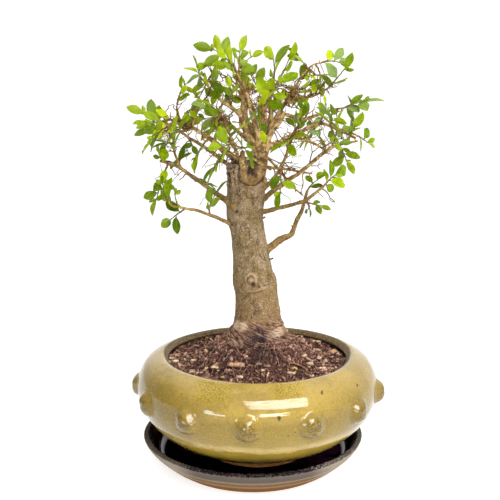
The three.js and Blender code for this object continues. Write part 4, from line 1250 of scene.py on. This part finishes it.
# A rough lump with twenty faces
def lump_template():
    golden = (1 + math.sqrt(5)) / 2
    corners = [(0, a, b * golden) for a in (-1, 1) for b in (-1, 1)]
    points = np.array([corner[k:] + corner[:k] for k in range(3) for corner in corners], float)
    gaps = np.linalg.norm(points[:, None] - points[None], axis=2)
    close = gaps < 2.1
    faces = [(i, j, k) for i in range(LUMP_POINTS) for j in range(i + 1, LUMP_POINTS)
             for k in range(j + 1, LUMP_POINTS) if close[i, j] and close[j, k] and close[i, k]]
    return points / np.linalg.norm(points[0]), np.array(faces)


def turn_matrices(rng, count, tilt):
    first = rng.normal(0, 1, (count, 3))
    second = rng.normal(0, 1, (count, 3))
    first[:, 2] *= tilt
    second[:, 2] *= tilt
    first /= np.linalg.norm(first, axis=1)[:, None]
    third = np.cross(first, second)
    third /= np.linalg.norm(third, axis=1)[:, None]
    return np.stack([first, np.cross(third, first), third], 1)


def scatter_lumps(shape, rng, count, sizes, form, tints, lift, tilt):
    points, faces = lump_template()
    angle = rng.uniform(0, 2 * np.pi, count)
    radius = LITTER_REACH * np.sqrt(rng.uniform(0.09, 1, count))
    x, y = radius * np.cos(angle), radius * np.sin(angle)
    scale = rng.uniform(*sizes, (count, 1)) / 2 * rng.uniform(0.7, 1.3, (count, 3)) * form
    bodies = points[None] * (1 + rng.uniform(-0.25, 0.25, (count, LUMP_POINTS, 1))) * scale[:, None]
    bodies = np.einsum("nij,njk->nik", bodies, turn_matrices(rng, count, tilt))
    height = mound_height(x, y) + rng.uniform(-0.4, 1, count) * lift * scale.max(1)
    bodies += np.stack([x + POT_X, y, height], 1)[:, None]
    groups = (faces[None] + LUMP_POINTS * np.arange(count)[:, None, None]).reshape(-1, 3)
    tint = rng.choice(tints, count) + rng.uniform(-0.03, 0.03, count)
    shape.add(bodies.reshape(-1, 3), [groups], tint=np.repeat(tint, LUMP_POINTS))


# One ragged chip made of three lumps in a row
def add_chip(shape, rng, x, y, length, width, turn, tint):
    points, faces = lump_template()
    length, width = CHIP_LENGTH_SCALE * length, CHIP_WIDTH_SCALE * width
    c, s = math.cos(math.radians(turn)), math.sin(math.radians(turn))
    for share in (-0.3, 0, 0.3):
        size = (0.32 * length, 0.5 * width * rng.uniform(0.6, 1.1), 0.3 * width)
        body = points * (1 + rng.uniform(-0.3, 0.3, (LUMP_POINTS, 1))) * size
        body += (share * length, rng.uniform(-0.15, 0.15) * width, 0)
        body = body @ np.array([(c, s, 0), (-s, c, 0), (0, 0, 1)])
        place = (x + POT_X, y, mound_height(x, y) + 0.9 + 0.15 * width)
        shape.add(body + place, [faces], tint=tint + rng.uniform(-0.03, 0.03, LUMP_POINTS))


def add_root(shape, rng, x, y, radius, sides, tint):
    inside = np.hypot(x, y) < LITTER_REACH
    if inside.sum() > 2:
        x, y = x[inside], y[inside]
        z = mound_height(x, y) + 0.8 + radius + np.abs(rng.normal(0, 0.6, len(x)))
        shape.add_tube(np.column_stack([x + POT_X, y, z]), radius, sides, tint=tint)


def add_rootlet(shape, rng):
    angle = rng.uniform(0, 2 * np.pi)
    radius = rng.uniform(24, 92)
    way = angle + rng.normal(0, 1)
    steps = np.linspace(0, rng.uniform(3, 14), 5)
    x = radius * math.cos(angle) + steps * math.cos(way) + np.cumsum(rng.normal(0, 0.5, 5))
    y = radius * math.sin(angle) + steps * math.sin(way) + np.cumsum(rng.normal(0, 0.5, 5))
    add_root(shape, rng, x, y, rng.uniform(0.12, 0.34), 3, rng.choice(ROOTLET_TINTS))


def build_soil_litter(paint):
    rng = np.random.default_rng(31)
    shape = Shape("tint")
    for kind in LITTER:
        scatter_lumps(shape, rng, *kind)
    for chip in LARGE_CHIPS:
        add_chip(shape, rng, *chip)
    for radius, way in LONG_ROOTS:
        line = run_through([(x, y, 0) for x, y in way], 3)
        add_root(shape, rng, line[:, 0], line[:, 1], radius, 6, 0.22)
    for _ in range(ROOTLET_COUNT):
        add_rootlet(shape, rng)
    return make_piece("soil_litter", shape, [paint], "soil", ["soil"])


# Rows of the outside that lie on the inner slope of the rim
RIM_ROWS = 5
POT_SIDES = 360
TRAY_SIDES = 320


def revolve(profile, turns):
    angle = np.arange(turns) * 2 * np.pi / turns
    radius, height = profile[:, :1], profile[:, 1:]
    return np.stack([radius * np.sin(angle), -radius * np.cos(angle),
                     np.broadcast_to(height, (len(profile), turns))], -1), angle


def bosses(profile, angle):
    reach = np.append(0, np.cumsum(np.linalg.norm(np.diff(profile, axis=0), axis=1)))
    outer = np.flatnonzero((profile[:, 0] > 110) & (profile[:, 1] > 40))
    level = reach[outer[np.argmin(np.abs(profile[outer, 1] - BOSS_LEVEL))]]
    lift = np.zeros((len(profile), len(angle)))
    near, seam = np.zeros_like(lift), np.full_like(lift, 9)
    rng = np.random.default_rng(5)
    for k in range(BOSS_COUNT):
        middle = BOSS_FIRST_ANGLE + 2 * np.pi * k / BOSS_COUNT
        turn = (angle - middle + np.pi) % (2 * np.pi) - np.pi
        across = turn[None] * BELLY_RADIUS
        along = (reach - level - 2.5 * (1 - math.cos(middle)) - rng.uniform(-0.6, 0.6))[:, None]
        away = np.hypot(across, along) * (1 + 0.04 * np.sin(3 * np.arctan2(along, across) + k))
        upper = smoothstep(along, -4, 9)
        dome = np.clip(1 - (away / BOSS_RADIUS / (1 + 0.08 * upper)) ** 2.4, 0, 1) ** (0.85 + 0.5 * upper)
        dents = np.stack(np.broadcast_arrays(across - 60 * k, along, 0 * away), -1).reshape(-1, 3)
        dome = dome * (1 + 0.22 * noise(dents, 8, 55)).reshape(away.shape)
        lift += BOSS_HEIGHT * dome - 0.15 * (1 - 0.9 * upper) * bell(away - BOSS_RADIUS - 1.2, 1.3)
        near = np.maximum(near, bell(away, BOSS_RADIUS * 0.8))
        # The wrinkled pinch where the clay was pressed together
        folds = np.stack(np.broadcast_arrays(across + 40 * k, 1.6 * along, 0 * away), -1).reshape(-1, 3)
        wrinkle = noise(folds, 3.4, 53).reshape(away.shape) * bell(away, 7)
        slant = along - 1 + 0.25 * across * math.cos(k * 1.7) + wrinkle
        lift -= dome * (0.5 * bell(slant, 1.2) * bell(across, 6) + 0.4 * wrinkle)
        seam = np.where(away < BOSS_RADIUS, slant, seam)
    return lift, near, seam


def build_pot(paint):
    outside = run_through(POT_OUTSIDE, 1.25)
    inside = run_through(POT_INSIDE, 5)[1:]
    flats = zip(POT_UNDERSIDE, POT_UNDERSIDE[1:])
    under = np.vstack([resample(np.array(flat, float), 8)[1:] for flat in flats])[:-1]
    profile = np.vstack([outside, inside, under])
    points, angle = revolve(profile, POT_SIDES)
    slope = np.gradient(profile, axis=0)
    slope /= np.linalg.norm(slope, axis=1)[:, None] + 1e-9
    out = np.stack([np.outer(slope[:, 1], np.sin(angle)), np.outer(-slope[:, 1], np.cos(angle)),
                    np.repeat(-slope[:, :1], POT_SIDES, 1)], -1)
    lift, near, seam = bosses(profile, angle)
    on_outside = (np.arange(len(profile)) < len(outside))[:, None]
    flat = points.reshape(-1, 3)
    wobble = (0.35 * noise(flat, 60, 51) + 0.12 * noise(flat * (1, 1, 3), 16, 52)).reshape(lift.shape)
    rings = 0.05 * np.sin(profile[:, 1:] * 1.9)
    points = points + out * (on_outside * (lift + rings) + wobble * (profile[:, 1:] > 8))[..., None]
    points += (POT_X, 0, POT_BASE)
    shape = Shape("boss", "seam", "inside")
    rows, here = len(profile), np.arange(POT_SIDES)
    after, last = (here + 1) % POT_SIDES, (rows - 1) * POT_SIDES
    join = np.stack([last + here, last + after, after, here], 1)
    # The dark inner colour reaches further down at the back: painted shade
    first_inner = len(outside) - RIM_ROWS * (1 + 0.8 * smoothstep(-np.cos(angle), -0.3, 0.5))
    covered = np.clip(np.arange(rows)[:, None] - first_inner, 0, 1)
    shape.add(points.reshape(-1, 3), [grid_faces(rows, POT_SIDES), join],
              boss=(near * on_outside).ravel(), seam=seam.ravel(), inside=covered.ravel())
    return make_piece("glazed_pot", shape, [paint], "pot_glaze", ["pot"], sharp=55)


def build_tray(paint):
    outer = run_through(TRAY_OUTSIDE, 1)
    lip = run_through(TRAY_LIP, 0.7)[1:]
    inner = run_through(TRAY_INSIDE, 1)[1:]
    floor = np.column_stack([np.linspace(91, 1, 16), np.full(16, 10.0)])
    base = np.column_stack([np.linspace(2, 84, 6), np.zeros(6)])
    profile = np.vstack([base, outer, lip, inner, floor])
    points, _ = revolve(profile, TRAY_SIDES)
    flat = points.reshape(-1, 3)
    inside = np.repeat(np.arange(len(profile)) >= len(base) + len(outer) + len(lip) // 2, TRAY_SIDES)
    flat[:, 2] += 0.25 * noise(flat, 45, 61) * inside
    shape = Shape("inside")
    covered = np.append(inside, [0, 1]).astype(float)
    add_closed_rings(shape, flat, len(profile), TRAY_SIDES, inside=covered)
    return make_piece("glazed_tray", shape, [paint], "tray_glaze", ["drip_tray"], sharp=60)


# Places with a colour of their own, and spots of painted shade
OLD_CUT = (-2, 0, 301)
FOLD_REACH = 13.2
PALE_FOOT_LEFT, PALE_FOOT_RIGHT = (-13.5, 0, 146), (26, 0, 139)
FOOT_SHADE = (9, -37, 137)
SOIL_SHADE_SPOT = (9, -47, 125)
CRACKLE_LEFT, CRACKLE_RIGHT = -36, 30
RUBBED_LIP = (72, -88, 24)
# Dark blemishes in the glaze: place, size
GLAZE_MARKS = [((23, -121.5, 89.5), 1), ((63, -99.5, 105.4), 0.7), ((99.2, -69, 102.1), 0.55)]
# Stretches of a noise: drawn out along the trunk, and drawn out round it
TALL, WIDE = (1, 1, 0.5), (1, 1, 1.9)


def paint_leaf():
    p = Paint("leaf_green", specular_ior_level=0.1)
    shade = p.plus(p.value("tone"), p.patches(6, 0.3, 0.7, 3, span=(-0.12, 0.12)))
    green = p.ramp(shade, (0, (0.03, 0.08, 0)), (0.35, (0.125, 0.225, 0)), (0.68, (0.31, 0.43, 0)),
                   (1, (0.6, 0.71, 0)))
    side_vein = p.rise(p.math("PINGPONG", p.plus(p.value("row"), 1), 1), 0.32, 0.05)
    vein = p.math("MAXIMUM", p.rise(p.absolute(p.value("rib")), 0.13, 0.04), p.times(side_vein, 0.4))
    color = p.cover(green, p.mix(0.5, green, (0.4, 0.48, 0.02)), vein, 0.7)
    color = p.cover(color, (0.28, 0.4, 0.13), p.value("bloom"))
    color = p.cover(color, (0.3, 0.4, 0.04), p.value("under"), 0.35)
    p.set("base_color", color)
    p.set("roughness", p.rise(p.value("bloom"), 0, 1, 0.42, 0.65))
    p.bump(vein, 0.15, 0.5)
    # Light from behind glows through the blade
    glow = p.node("BsdfTranslucent", {"Color": p.mix(0.35, color, (0.5, 0.62, 0))})
    blend = p.node("MixShader", {0: 0.28, 1: p.shader.outputs[0], 2: glow.outputs[0]})
    p.tree.links.new(blend.outputs[0], p.tree.nodes["Material Output"].inputs[0])
    return p.material


def paint_stem():
    p = Paint("young_stem", roughness=0.55, specular_ior_level=0.3)
    brown = p.mix(p.noise(3), (0.1, 0.04, 0.012), (0.2, 0.1, 0.035))
    p.set("base_color", p.cover(brown, (0.15, 0.19, 0.015), p.value("green")))
    return p.material


# The trunk: mauve and olive patches, warmer low down, with blotches, pale scurf, flecks and cracks
def trunk_color(p, height):
    color = p.mix(p.patches(19, 0.4, 0.62, 5, 0.6, bend=0.8), (0.18, 0.12, 0.045), (0.27, 0.19, 0.11))
    color = p.cover(color, (0.25, 0.145, 0.05), p.rise(height, 220, 165), 0.75)
    color = p.cover(color, (0.07, 0.037, 0.012), p.patches(6, 0.49, 0.6, 6, 0.75, TALL, 0.6), 0.8)
    color = p.cover(color, (0.52, 0.41, 0.29), p.patches(7, 0.53, 0.62, 6, 0.8, bend=0.8), 0.5)
    color = p.cover(color, (0.52, 0.38, 0.21), p.patches(1.4, 0.52, 0.6, 4, 0.7, WIDE), 0.65)
    color = p.cover(color, (0.04, 0.02, 0.007), p.patches(1.7, 0.54, 0.61, 5, 0.8, WIDE), 0.9)
    crack = p.times(p.rise(p.cells(5, "DISTANCE_TO_EDGE", TALL, 12), 0.1, 0.02), p.patches(8, 0.5, 0.6, 3))
    return p.cover(color, (0.05, 0.026, 0.01), p.times(crack, p.rise(height, 200, 250, 0.1, 0.7)))


# Limbs, paler in the crown, with dark and pale specks
def limb_color(p, height):
    pale = p.mix(p.rise(height, 270, 310), (0.3, 0.195, 0.066), (0.66, 0.45, 0.2))
    color = p.mix(p.patches(6, 0.42, 0.58, 4, 0.7), (0.21, 0.12, 0.035), pale)
    color = p.cover(color, (0.045, 0.02, 0.006), p.patches(2, 0.5, 0.6, 5, 0.8), 0.65)
    return p.cover(color, (0.5, 0.36, 0.2), p.patches(1.6, 0.57, 0.65, 4, 0.8, (1, 1, 1.4)), 0.5)


# All the wood by its girth, with reddish knobs, dead twigs and the cork round the old cut
def wood_color(p, height):
    girth = p.value("girth")
    twig = p.mix(p.patches(4, 0.4, 0.6), (0.15, 0.072, 0.006), (0.45, 0.29, 0.065))
    color = p.mix(p.rise(girth, 0.9, 1.9), twig, limb_color(p, height))
    color = p.mix(p.rise(girth, 4, 12), color, trunk_color(p, height))
    red = p.ramp(p.noise(1.8, 4, 0.7), (0.35, (0.055, 0.017, 0.003)), (0.5, (0.22, 0.095, 0.025)),
                 (0.66, (0.58, 0.38, 0.17)))
    color = p.cover(color, red, p.value("knob"), 0.7)
    color = p.cover(color, (0.04, 0.018, 0.008), p.value("dead"))
    crust = p.ramp(p.noise(2, 5, 0.75), (0.38, (0.055, 0.025, 0.012)), (0.5, (0.25, 0.155, 0.09)),
                   (0.62, (0.56, 0.41, 0.28)))
    return p.cover(color, crust, p.value("cork"), 0.85)


# The fibrous foot, redder at the bottom, with two pale patches, soil in front and a painted shade low at its
# front
def foot_color(p, color, across, height, facing):
    fibres = p.noise(1.25, 4, 0.7, (0.16, 0.16, 1), turn=(0, -0.45, 0))
    rind = p.ramp(fibres, (0.38, (0.05, 0.02, 0.012)), (0.5, (0.22, 0.115, 0.06)), (0.62, (0.55, 0.36, 0.22)))
    color = p.cover(color, rind, p.rise(p.plus(height, p.times(p.noise(9), 20)), 168, 156))
    reddish = p.ramp(fibres, (0.41, (0.03, 0.011, 0.008)), (0.49, (0.16, 0.078, 0.05)),
                     (0.6, (0.46, 0.28, 0.18)))
    lower = p.plus(p.times(p.noise(7), 12), p.times(p.math("MAXIMUM", across, 0), 0.35))
    color = p.cover(color, reddish, p.rise(p.plus(height, lower), 154, 149), 0.9)
    from_pale_patch = p.math("MINIMUM", p.away(PALE_FOOT_LEFT, (0.6, 0, 1), 5), p.away(PALE_FOOT_RIGHT, (0.5, 0, 1), 5))
    pale = p.ramp(fibres, (0.4, (0.25, 0.15, 0.09)), (0.48, (0.6, 0.43, 0.28)), (0.6, (0.74, 0.56, 0.38)))
    color = p.cover(color, pale, p.times(p.rise(from_pale_patch, 5.8, 3.4), facing), 0.9)
    dirt = p.ramp(p.noise(1.6, 4, 0.75), (0.38, (0.006, 0.003, 0.004)), (0.5, (0.045, 0.02, 0.018)),
                  (0.62, (0.2, 0.11, 0.09)))
    color = p.cover(color, dirt, p.value("soiled"))
    # Painted shade low at the front of the foot
    return p.cover(color, (0.006, 0.002, 0.005), p.rise(p.away(FOOT_SHADE, (1, 1, 0.7), 7), 9, 5), 0.85)


# The fold of bark that hangs round the old cut, darkened with painted shade, with a dark painted shadow along
# the crease at its edge
def fold_color(p, color, height, facing):
    from_cut = p.away(OLD_CUT, (1, 0, 1), 6, 5)
    hanging = p.times(p.rise(height, 300, 294), facing)
    fold_shade = p.times(p.rise(from_cut, FOLD_REACH + 0.3, FOLD_REACH - 1.7), hanging)
    color = p.cover(color, (0.17, 0.095, 0.025), fold_shade, 0.6)
    crease = p.rise(p.absolute(p.plus(from_cut, -FOLD_REACH)), 1.7, 0.5)
    return p.cover(color, (0.05, 0.022, 0.008), p.times(crease, hanging), 0.85)


# The scar of the lost limb: rings round a knob, with a dark notch; the pale knob and upper ring are partly
# painted highlight, the dark rings and notch painted shade in the grooves, and the rings show more on the
# upper side as painted light from above. The ramp counts in centimetres.
def scar_color(p, color, height, facing):
    from_scar = p.away(TRUNK_SCAR, (1, 0, 0.9), 5, 3)
    rings = p.ramp(p.times(from_scar, 0.1), (0.1, (0.5, 0.35, 0.21)), (0.25, (0.4, 0.26, 0.14)),
                   (0.33, (0.13, 0.07, 0.03)), (0.4, (0.14, 0.075, 0.03)), (0.48, (0.32, 0.21, 0.11)),
                   (0.56, (0.52, 0.4, 0.27)), (0.62, (0.26, 0.17, 0.09)))
    shell = p.times(p.rise(from_scar, 7.2, 5.8), facing)
    color = p.cover(color, rings, p.times(shell, p.rise(height, 189, 195, 0.45, 0.68)))
    # Painted shadow in the notch at the lower right of the scar
    notch = p.times(p.rise(p.away(SCAR_NOTCH, (1, 0, 1), 4, 2), 3.4, 1.6), facing)
    return p.cover(color, (0.03, 0.012, 0.004), notch, 0.9)


def paint_bark():
    p = Paint("bark", roughness=0.85, specular_ior_level=0.15)
    across, depth, height = p.axes()
    facing = p.rise(depth, -6, -14)
    color = foot_color(p, wood_color(p, height), across, height, facing)
    # Painted shade darkens the deep points of the bark and painted highlight lightens the raised ones
    color = p.cover(color, (0.035, 0.015, 0.01), p.rise(p.value("pit"), 0.15, 1.1), 0.9)
    color = p.cover(color, (0.46, 0.33, 0.19), p.rise(p.value("pit"), -0.15, -0.7), 0.6)
    color = fold_color(p, color, height, facing)
    p.set("base_color", scar_color(p, color, height, facing))
    p.bump(p.noise(1.7, 5, 0.75, WIDE), 0.9, 0.9)
    return p.material


def paint_soil():
    p = Paint("soil_bed", roughness=0.95, specular_ior_level=0.1)
    dark, light = (0.02, 0.009, 0.008), (0.12, 0.055, 0.04)
    p.set("base_color", p.ramp(p.noise(2.5, 5, 0.65), (0.35, dark), (0.6, light)))
    p.bump(p.noise(1.5, 4), 0.8)
    return p.material


def paint_litter():
    p = Paint("soil_litter", roughness=0.85, specular_ior_level=0.2)
    tint = p.ramp(p.value("tint"), (0.0, (0.02, 0.008, 0.008)), (0.04, (0.085, 0.034, 0.028)),
                  (0.16, (0.25, 0.113, 0.08)), (0.28, (0.44, 0.225, 0.152)), (0.4, (0.64, 0.39, 0.27)),
                  (0.5, (0.68, 0.39, 0.21)), (0.6, (0.75, 0.52, 0.29)), (0.7, (0.79, 0.6, 0.39)),
                  (0.8, (0.7, 0.6, 0.47)), (0.92, (0.76, 0.56, 0.14)))
    # Painted shade darkens the soil in front of the trunk's foot
    tint = p.cover(tint, (0.02, 0.008, 0.012), p.rise(p.away(SOIL_SHADE_SPOT, (1, 1, 0.5), 12, 6), 16, 7), 0.65)
    dim = p.patches(1.8, 0.32, 0.68, 4, 0.7, span=(0.35, 1.3))
    grey = p.node("CombineXYZ", {0: dim, 1: dim, 2: dim}).outputs[0]
    p.set("base_color", p.mix(1, tint, grey, "MULTIPLY"))
    p.bump(p.noise(0.9, 4), 0.3)
    return p.material


# The glaze by height, with mottle and grain: a pale band low on the belly, partly own colour and partly
# painted light against the shade there; darker flanks, partly darker glaze and partly painted shade
def glaze_color(p, side, height):
    level = p.ragged(height, 14, 40, 3)
    # The lower belly, most of all the band near 50 mm, is made paler partly as painted light on the shaded
    # underside
    color = p.ramp(p.rise(level, 10, 115), (0.06, (0.42, 0.27, 0.028)), (0.15, (0.38, 0.25, 0.026)),
                   (0.33, (0.36, 0.245, 0.035)), (0.36, (0.56, 0.41, 0.15)), (0.42, (0.48, 0.34, 0.095)),
                   (0.47, (0.325, 0.222, 0.035)), (0.62, (0.285, 0.19, 0.03)), (0.76, (0.265, 0.176, 0.022)),
                   (0.88, (0.43, 0.292, 0.058)), (1, (0.465, 0.32, 0.088)))
    flank = p.times(p.rise(p.absolute(side), 40, 100), p.rise(level, 120, 95))
    color = p.cover(color, (0.17, 0.115, 0.016), p.patches(30, 0.45, 0.62, 4, 0.6), 0.4)
    # Painted shade on the left and right flanks, over darker glaze
    color = p.cover(color, (0.19, 0.124, 0.016), p.times(flank, p.rise(level, 45, 65)), 0.65)
    color = p.cover(color, (0.17, 0.115, 0.012), p.patches(2.6, 0.5, 0.64, 4, 0.65), 0.3)
    color = p.cover(color, (0.6, 0.46, 0.16), p.patches(1.5, 0.5, 0.66, 4, 0.75), 0.3)
    return add_crackle(p, color, side, level)


# Crackle where the glaze is thick, under the rim
def add_crackle(p, color, side, level):
    aside = [p.absolute(p.plus(side, -middle)) for middle in (CRACKLE_LEFT, CRACKLE_RIGHT)]
    patch = p.plus(p.math("MINIMUM", *aside), p.times(p.noise(12, 3), 16))
    thick = p.times(p.rise(level, 96, 104), p.rise(patch, 28, 18, 0.1, 0.6))
    crackle = p.rise(p.cells(2.6, "DISTANCE_TO_EDGE", bend=3), 0.18, 0.04)
    color = p.cover(color, (0.52, 0.38, 0.035), thick, 0.6)
    return p.cover(color, (0.2, 0.12, 0.006), p.times(crackle, thick))


# Brown seams and pinch lines on the bosses
def boss_color(p, color, seam):
    boss = p.value("boss")
    color = p.cover(color, (0.17, 0.12, 0.022), boss, 0.4)
    pinch = p.times(p.rise(boss, 0.35, 0.7), p.rise(p.cells(5, "DISTANCE_TO_EDGE", bend=9), 0.11, 0.03))
    return p.cover(color, (0.1, 0.053, 0.006), p.math("MAXIMUM", pinch, seam), 0.75)


def paint_pot():
    p = Paint("olive_glaze", coat_roughness=0.03, specular_ior_level=0.3)
    side, _, height = p.axes()
    seam = p.rise(p.absolute(p.ragged(p.value("seam"), 14, 3.2, 5, 0.75)), 1.1, 0.3)
    seam = p.times(seam, p.rise(p.value("boss"), 0.4, 0.7))
    color = boss_color(p, glaze_color(p, side, height), seam)
    speck = p.times(p.rise(p.cells(11), 0.08, 0.05), p.patches(20, 0.5, 0.55, 2))
    color = p.cover(color, (0.04, 0.03, 0.01), speck, 0.8)
    for point, size in GLAZE_MARKS:
        mark = p.rise(p.away(point, (1, 0.3, 0.8), 2, 2), 2.2 * size, 1.2 * size)
        color = p.cover(color, (0.03, 0.022, 0.01), mark, 0.85)
    # The inner slope of the rim: dark olive glaze, partly its own colour and partly painted shade in the
    # pot's mouth
    inner = p.mix(p.patches(2.4, 0.45, 0.6, 4, 0.7), (0.16, 0.1, 0.03), (0.05, 0.028, 0.01))
    color = p.cover(color, inner, p.value("inside"))
    # Bare clay at the foot, made very light partly as painted light against the shade under the pot
    clay = p.mix(p.noise(2), (0.85, 0.36, 0.09), (0.95, 0.46, 0.14))
    bare = p.rise(p.plus(height, p.times(p.noise(12), 2)), 16.9, 15.9)
    p.set("base_color", p.cover(color, clay, bare))
    dull = p.math("MAXIMUM", bare, p.times(p.value("inside"), 0.6))
    p.set("roughness", p.rise(dull, 0, 1, 0.1, 0.8))
    p.set("coat_weight", p.rise(dull, 0, 0.6, 0.3, 0))
    p.bump(seam, -0.3, 0.4)
    p.bump(p.noise(9, 3), 0.3, 0.5)
    p.bump(p.noise(1.4, 2), 0.03, 0.5)
    return p.material


# The tray outside: a grey band, a beige ridge and bare terracotta at the foot, by share of the height
def tray_wall_color(p, aside, height):
    band = p.plus(height, p.times(p.noise(14, 3), 2))
    color = p.ramp(p.times(band, 1 / 31), (0.0, (0.23, 0.1, 0.028)), (0.44, (0.21, 0.095, 0.027)),
                   (0.53, (0.19, 0.115, 0.055)), (0.61, (0.21, 0.14, 0.08)), (0.66, (0.3, 0.235, 0.165)),
                   (0.72, (0.13, 0.105, 0.09)), (0.93, (0.14, 0.115, 0.1)), (0.99, (0.16, 0.13, 0.11)))
    # Painted reflection: the wall is paler to the left and right, where it sheens at a grazing angle
    color = p.cover(color, (0.42, 0.36, 0.28), p.times(aside, p.rise(height, 8, 16)), 0.7)
    return p.cover(color, (0.08, 0.055, 0.04), p.patches(1.6, 0.53, 0.63, 4, 0.75), 0.4)


# Black glaze with a purple cast, worn through to pale specks along the lip
def tray_glaze_color(p, height):
    color = p.mix(p.patches(26, 0.5, 0.6, 3), (0.001, 0.001, 0.002), (0.02, 0.005, 0.014))
    rubbed = p.rise(p.away(RUBBED_LIP, ragged=20, size=9), 34, 18, 0.3, 1)
    worn = p.times(p.patches(1.7, 0.53, 0.58, 5, 0.8), p.rise(height, 17, 26))
    return p.cover(color, (0.4, 0.36, 0.33), p.times(worn, rubbed))


def paint_tray():
    p = Paint("dark_glaze")
    side, _, height = p.axes()
    aside = p.rise(p.absolute(side), 50, 78)
    lip = p.rise(p.ragged(height, 4, 3, 5, 0.8), 28.5, 29)
    # At the sides a quarter of the pale wall colour shows on the lip, a painted reflection
    lip = p.times(lip, p.rise(aside, 0.2, 0.8, 0.95, 0.75))
    glazed = p.math("MAXIMUM", p.value("inside"), lip)
    p.set("base_color", p.mix(glazed, tray_wall_color(p, aside, height), tray_glaze_color(p, height)))
    p.set("roughness", p.rise(p.value("inside"), 0, 1, 0.65, 0.08))
    # Only the hollow where the wall meets the floor mirrors the room
    hollow = p.times(p.rise(height, 10.3, 11.2), p.rise(height, 14.5, 13))
    p.set("specular_ior_level", p.times(hollow, 0.65))
    p.bump(p.noise(2.2, 4), 0.1, 0.5)
    return p.material


def paint_plastic():
    p = Paint("mesh_plastic", roughness=0.55)
    p.set("base_color", p.mix(p.noise(3), (0.016, 0.018, 0.02), (0.024, 0.026, 0.03)))
    return p.material


def paint_floor():
    p = Paint("pale_floor", roughness=0.9, specular_ior_level=0)
    p.set("emission_color", (1, 1, 1))
    p.set("emission_strength", 0.8)
    p.set("base_color", p.mix(p.noise(900, 2), (0.44, 0.44, 0.44), (0.46, 0.46, 0.46)))
    return p.material


# The tree grows, then every piece gets its looks
limbs, shoots, wood, taken = grow_tree()
bark = paint_bark()
build_wood(limbs, bark)
build_twigs(limbs, shoots, bark)
small_shoots = grow_small_shoots(np.random.default_rng(3), wood, taken, SMALL_SHOOT_COUNT)
build_foliage(shoots, small_shoots, paint_leaf(), paint_stem())
build_soil_bed(paint_soil())
build_soil_litter(paint_litter())
build_pot(paint_pot())
build_tray(paint_tray())
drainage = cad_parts["drainage_mesh"]
drainage.data.materials.clear()
drainage.data.materials.append(paint_plastic())

# A plain pale floor under soft white light
bpy.ops.mesh.primitive_circle_add(vertices=96, radius=4, fill_type="NGON")
floor = bpy.context.object
floor.name = "floor"
floor.data.materials.append(paint_floor())


# A white room: bright behind the plant, dimmer at the front and on the left
def light_room():
    world = bpy.data.worlds.new("studio")
    world.use_nodes = True
    tree = world.node_tree
    way = tree.nodes.new("ShaderNodeSeparateXYZ")
    tree.links.new(tree.nodes.new("ShaderNodeTexCoord").outputs["Generated"], way.inputs[0])
    both = tree.nodes.new("ShaderNodeMath")
    both.operation = "MULTIPLY"
    for index, (axis, span) in enumerate([("Y", (-0.6, 0.6, 0.5, 1.15)), ("X", (-1, -0.35, 0.15, 1))]):
        shade = tree.nodes.new("ShaderNodeMapRange")
        tree.links.new(way.outputs[axis], shade.inputs[0])
        for socket, value in zip(shade.inputs[1:5], span):
            socket.default_value = value
        tree.links.new(shade.outputs[0], both.inputs[index])
    tree.links.new(both.outputs[0], tree.nodes["Background"].inputs[1])
    tree.nodes["Background"].inputs[0].default_value = (1, 1, 1, 1)
    bpy.context.scene.world = world


light_room()

# What a light does: it only shines, or it is only mirrored
SHINES_ONLY, MIRRORED_ONLY = (True, False), (False, True)
# The window is mirrored as strips with dark bars between them
WINDOW_STRIPS = 6


def add_light(name, azimuth, elevation, distance, width, height, power, use, aim=(4.5, -60, 110)):
    light = bpy.data.lights.new(name, "AREA")
    light.shape, light.size, light.size_y, light.energy = "RECTANGLE", width, height, power
    lamp = bpy.data.objects.new(name, light)
    bpy.context.scene.collection.objects.link(lamp)
    side, rise = math.radians(azimuth), math.radians(elevation)
    way = np.array([math.sin(side) * math.cos(rise), -math.cos(side) * math.cos(rise), math.sin(rise)])
    lamp.location = np.array(aim) / 1000 + way * distance
    lamp.rotation_euler = (math.pi / 2 - rise, 0, side)
    lamp.visible_diffuse, lamp.visible_glossy = use


for strip in range(WINDOW_STRIPS):
    add_light(f"window_{strip}", 21, 29 + 4.8 * strip, 1.5, 1.4, 0.085, 8, MIRRORED_ONLY)
add_light("window_glow", 21, 42, 1.5, 1.4, 0.4, 18.4, SHINES_ONLY)
add_light("low_window", 15, 13, 1.5, 0.7, 0.12, 6, MIRRORED_ONLY)
add_light("side_window", -38, 8, 1.5, 0.55, 0.28, 7, MIRRORED_ONLY)
bpy.data.lights["side_window"].color = (0.75, 0.88, 1)
add_light("soft_key", 70, 40, 1.8, 1.2, 1.2, 9.5, SHINES_ONLY)
add_light("low_fill", 12, 21, 2.4, 2, 0.4, 7.5, SHINES_ONLY)

camera_data = bpy.data.cameras.new("camera")
camera_data.sensor_width = 36
camera_data.lens = 57.6
camera = bpy.data.objects.new("camera", camera_data)
bpy.context.scene.collection.objects.link(camera)
camera.location = (-0.003, -0.8, 0.3597)
camera.rotation_euler = (math.pi / 2 - 0.172, 0, 0)
bpy.context.scene.camera = camera
bpy.context.scene.view_settings.view_transform = "Standard"
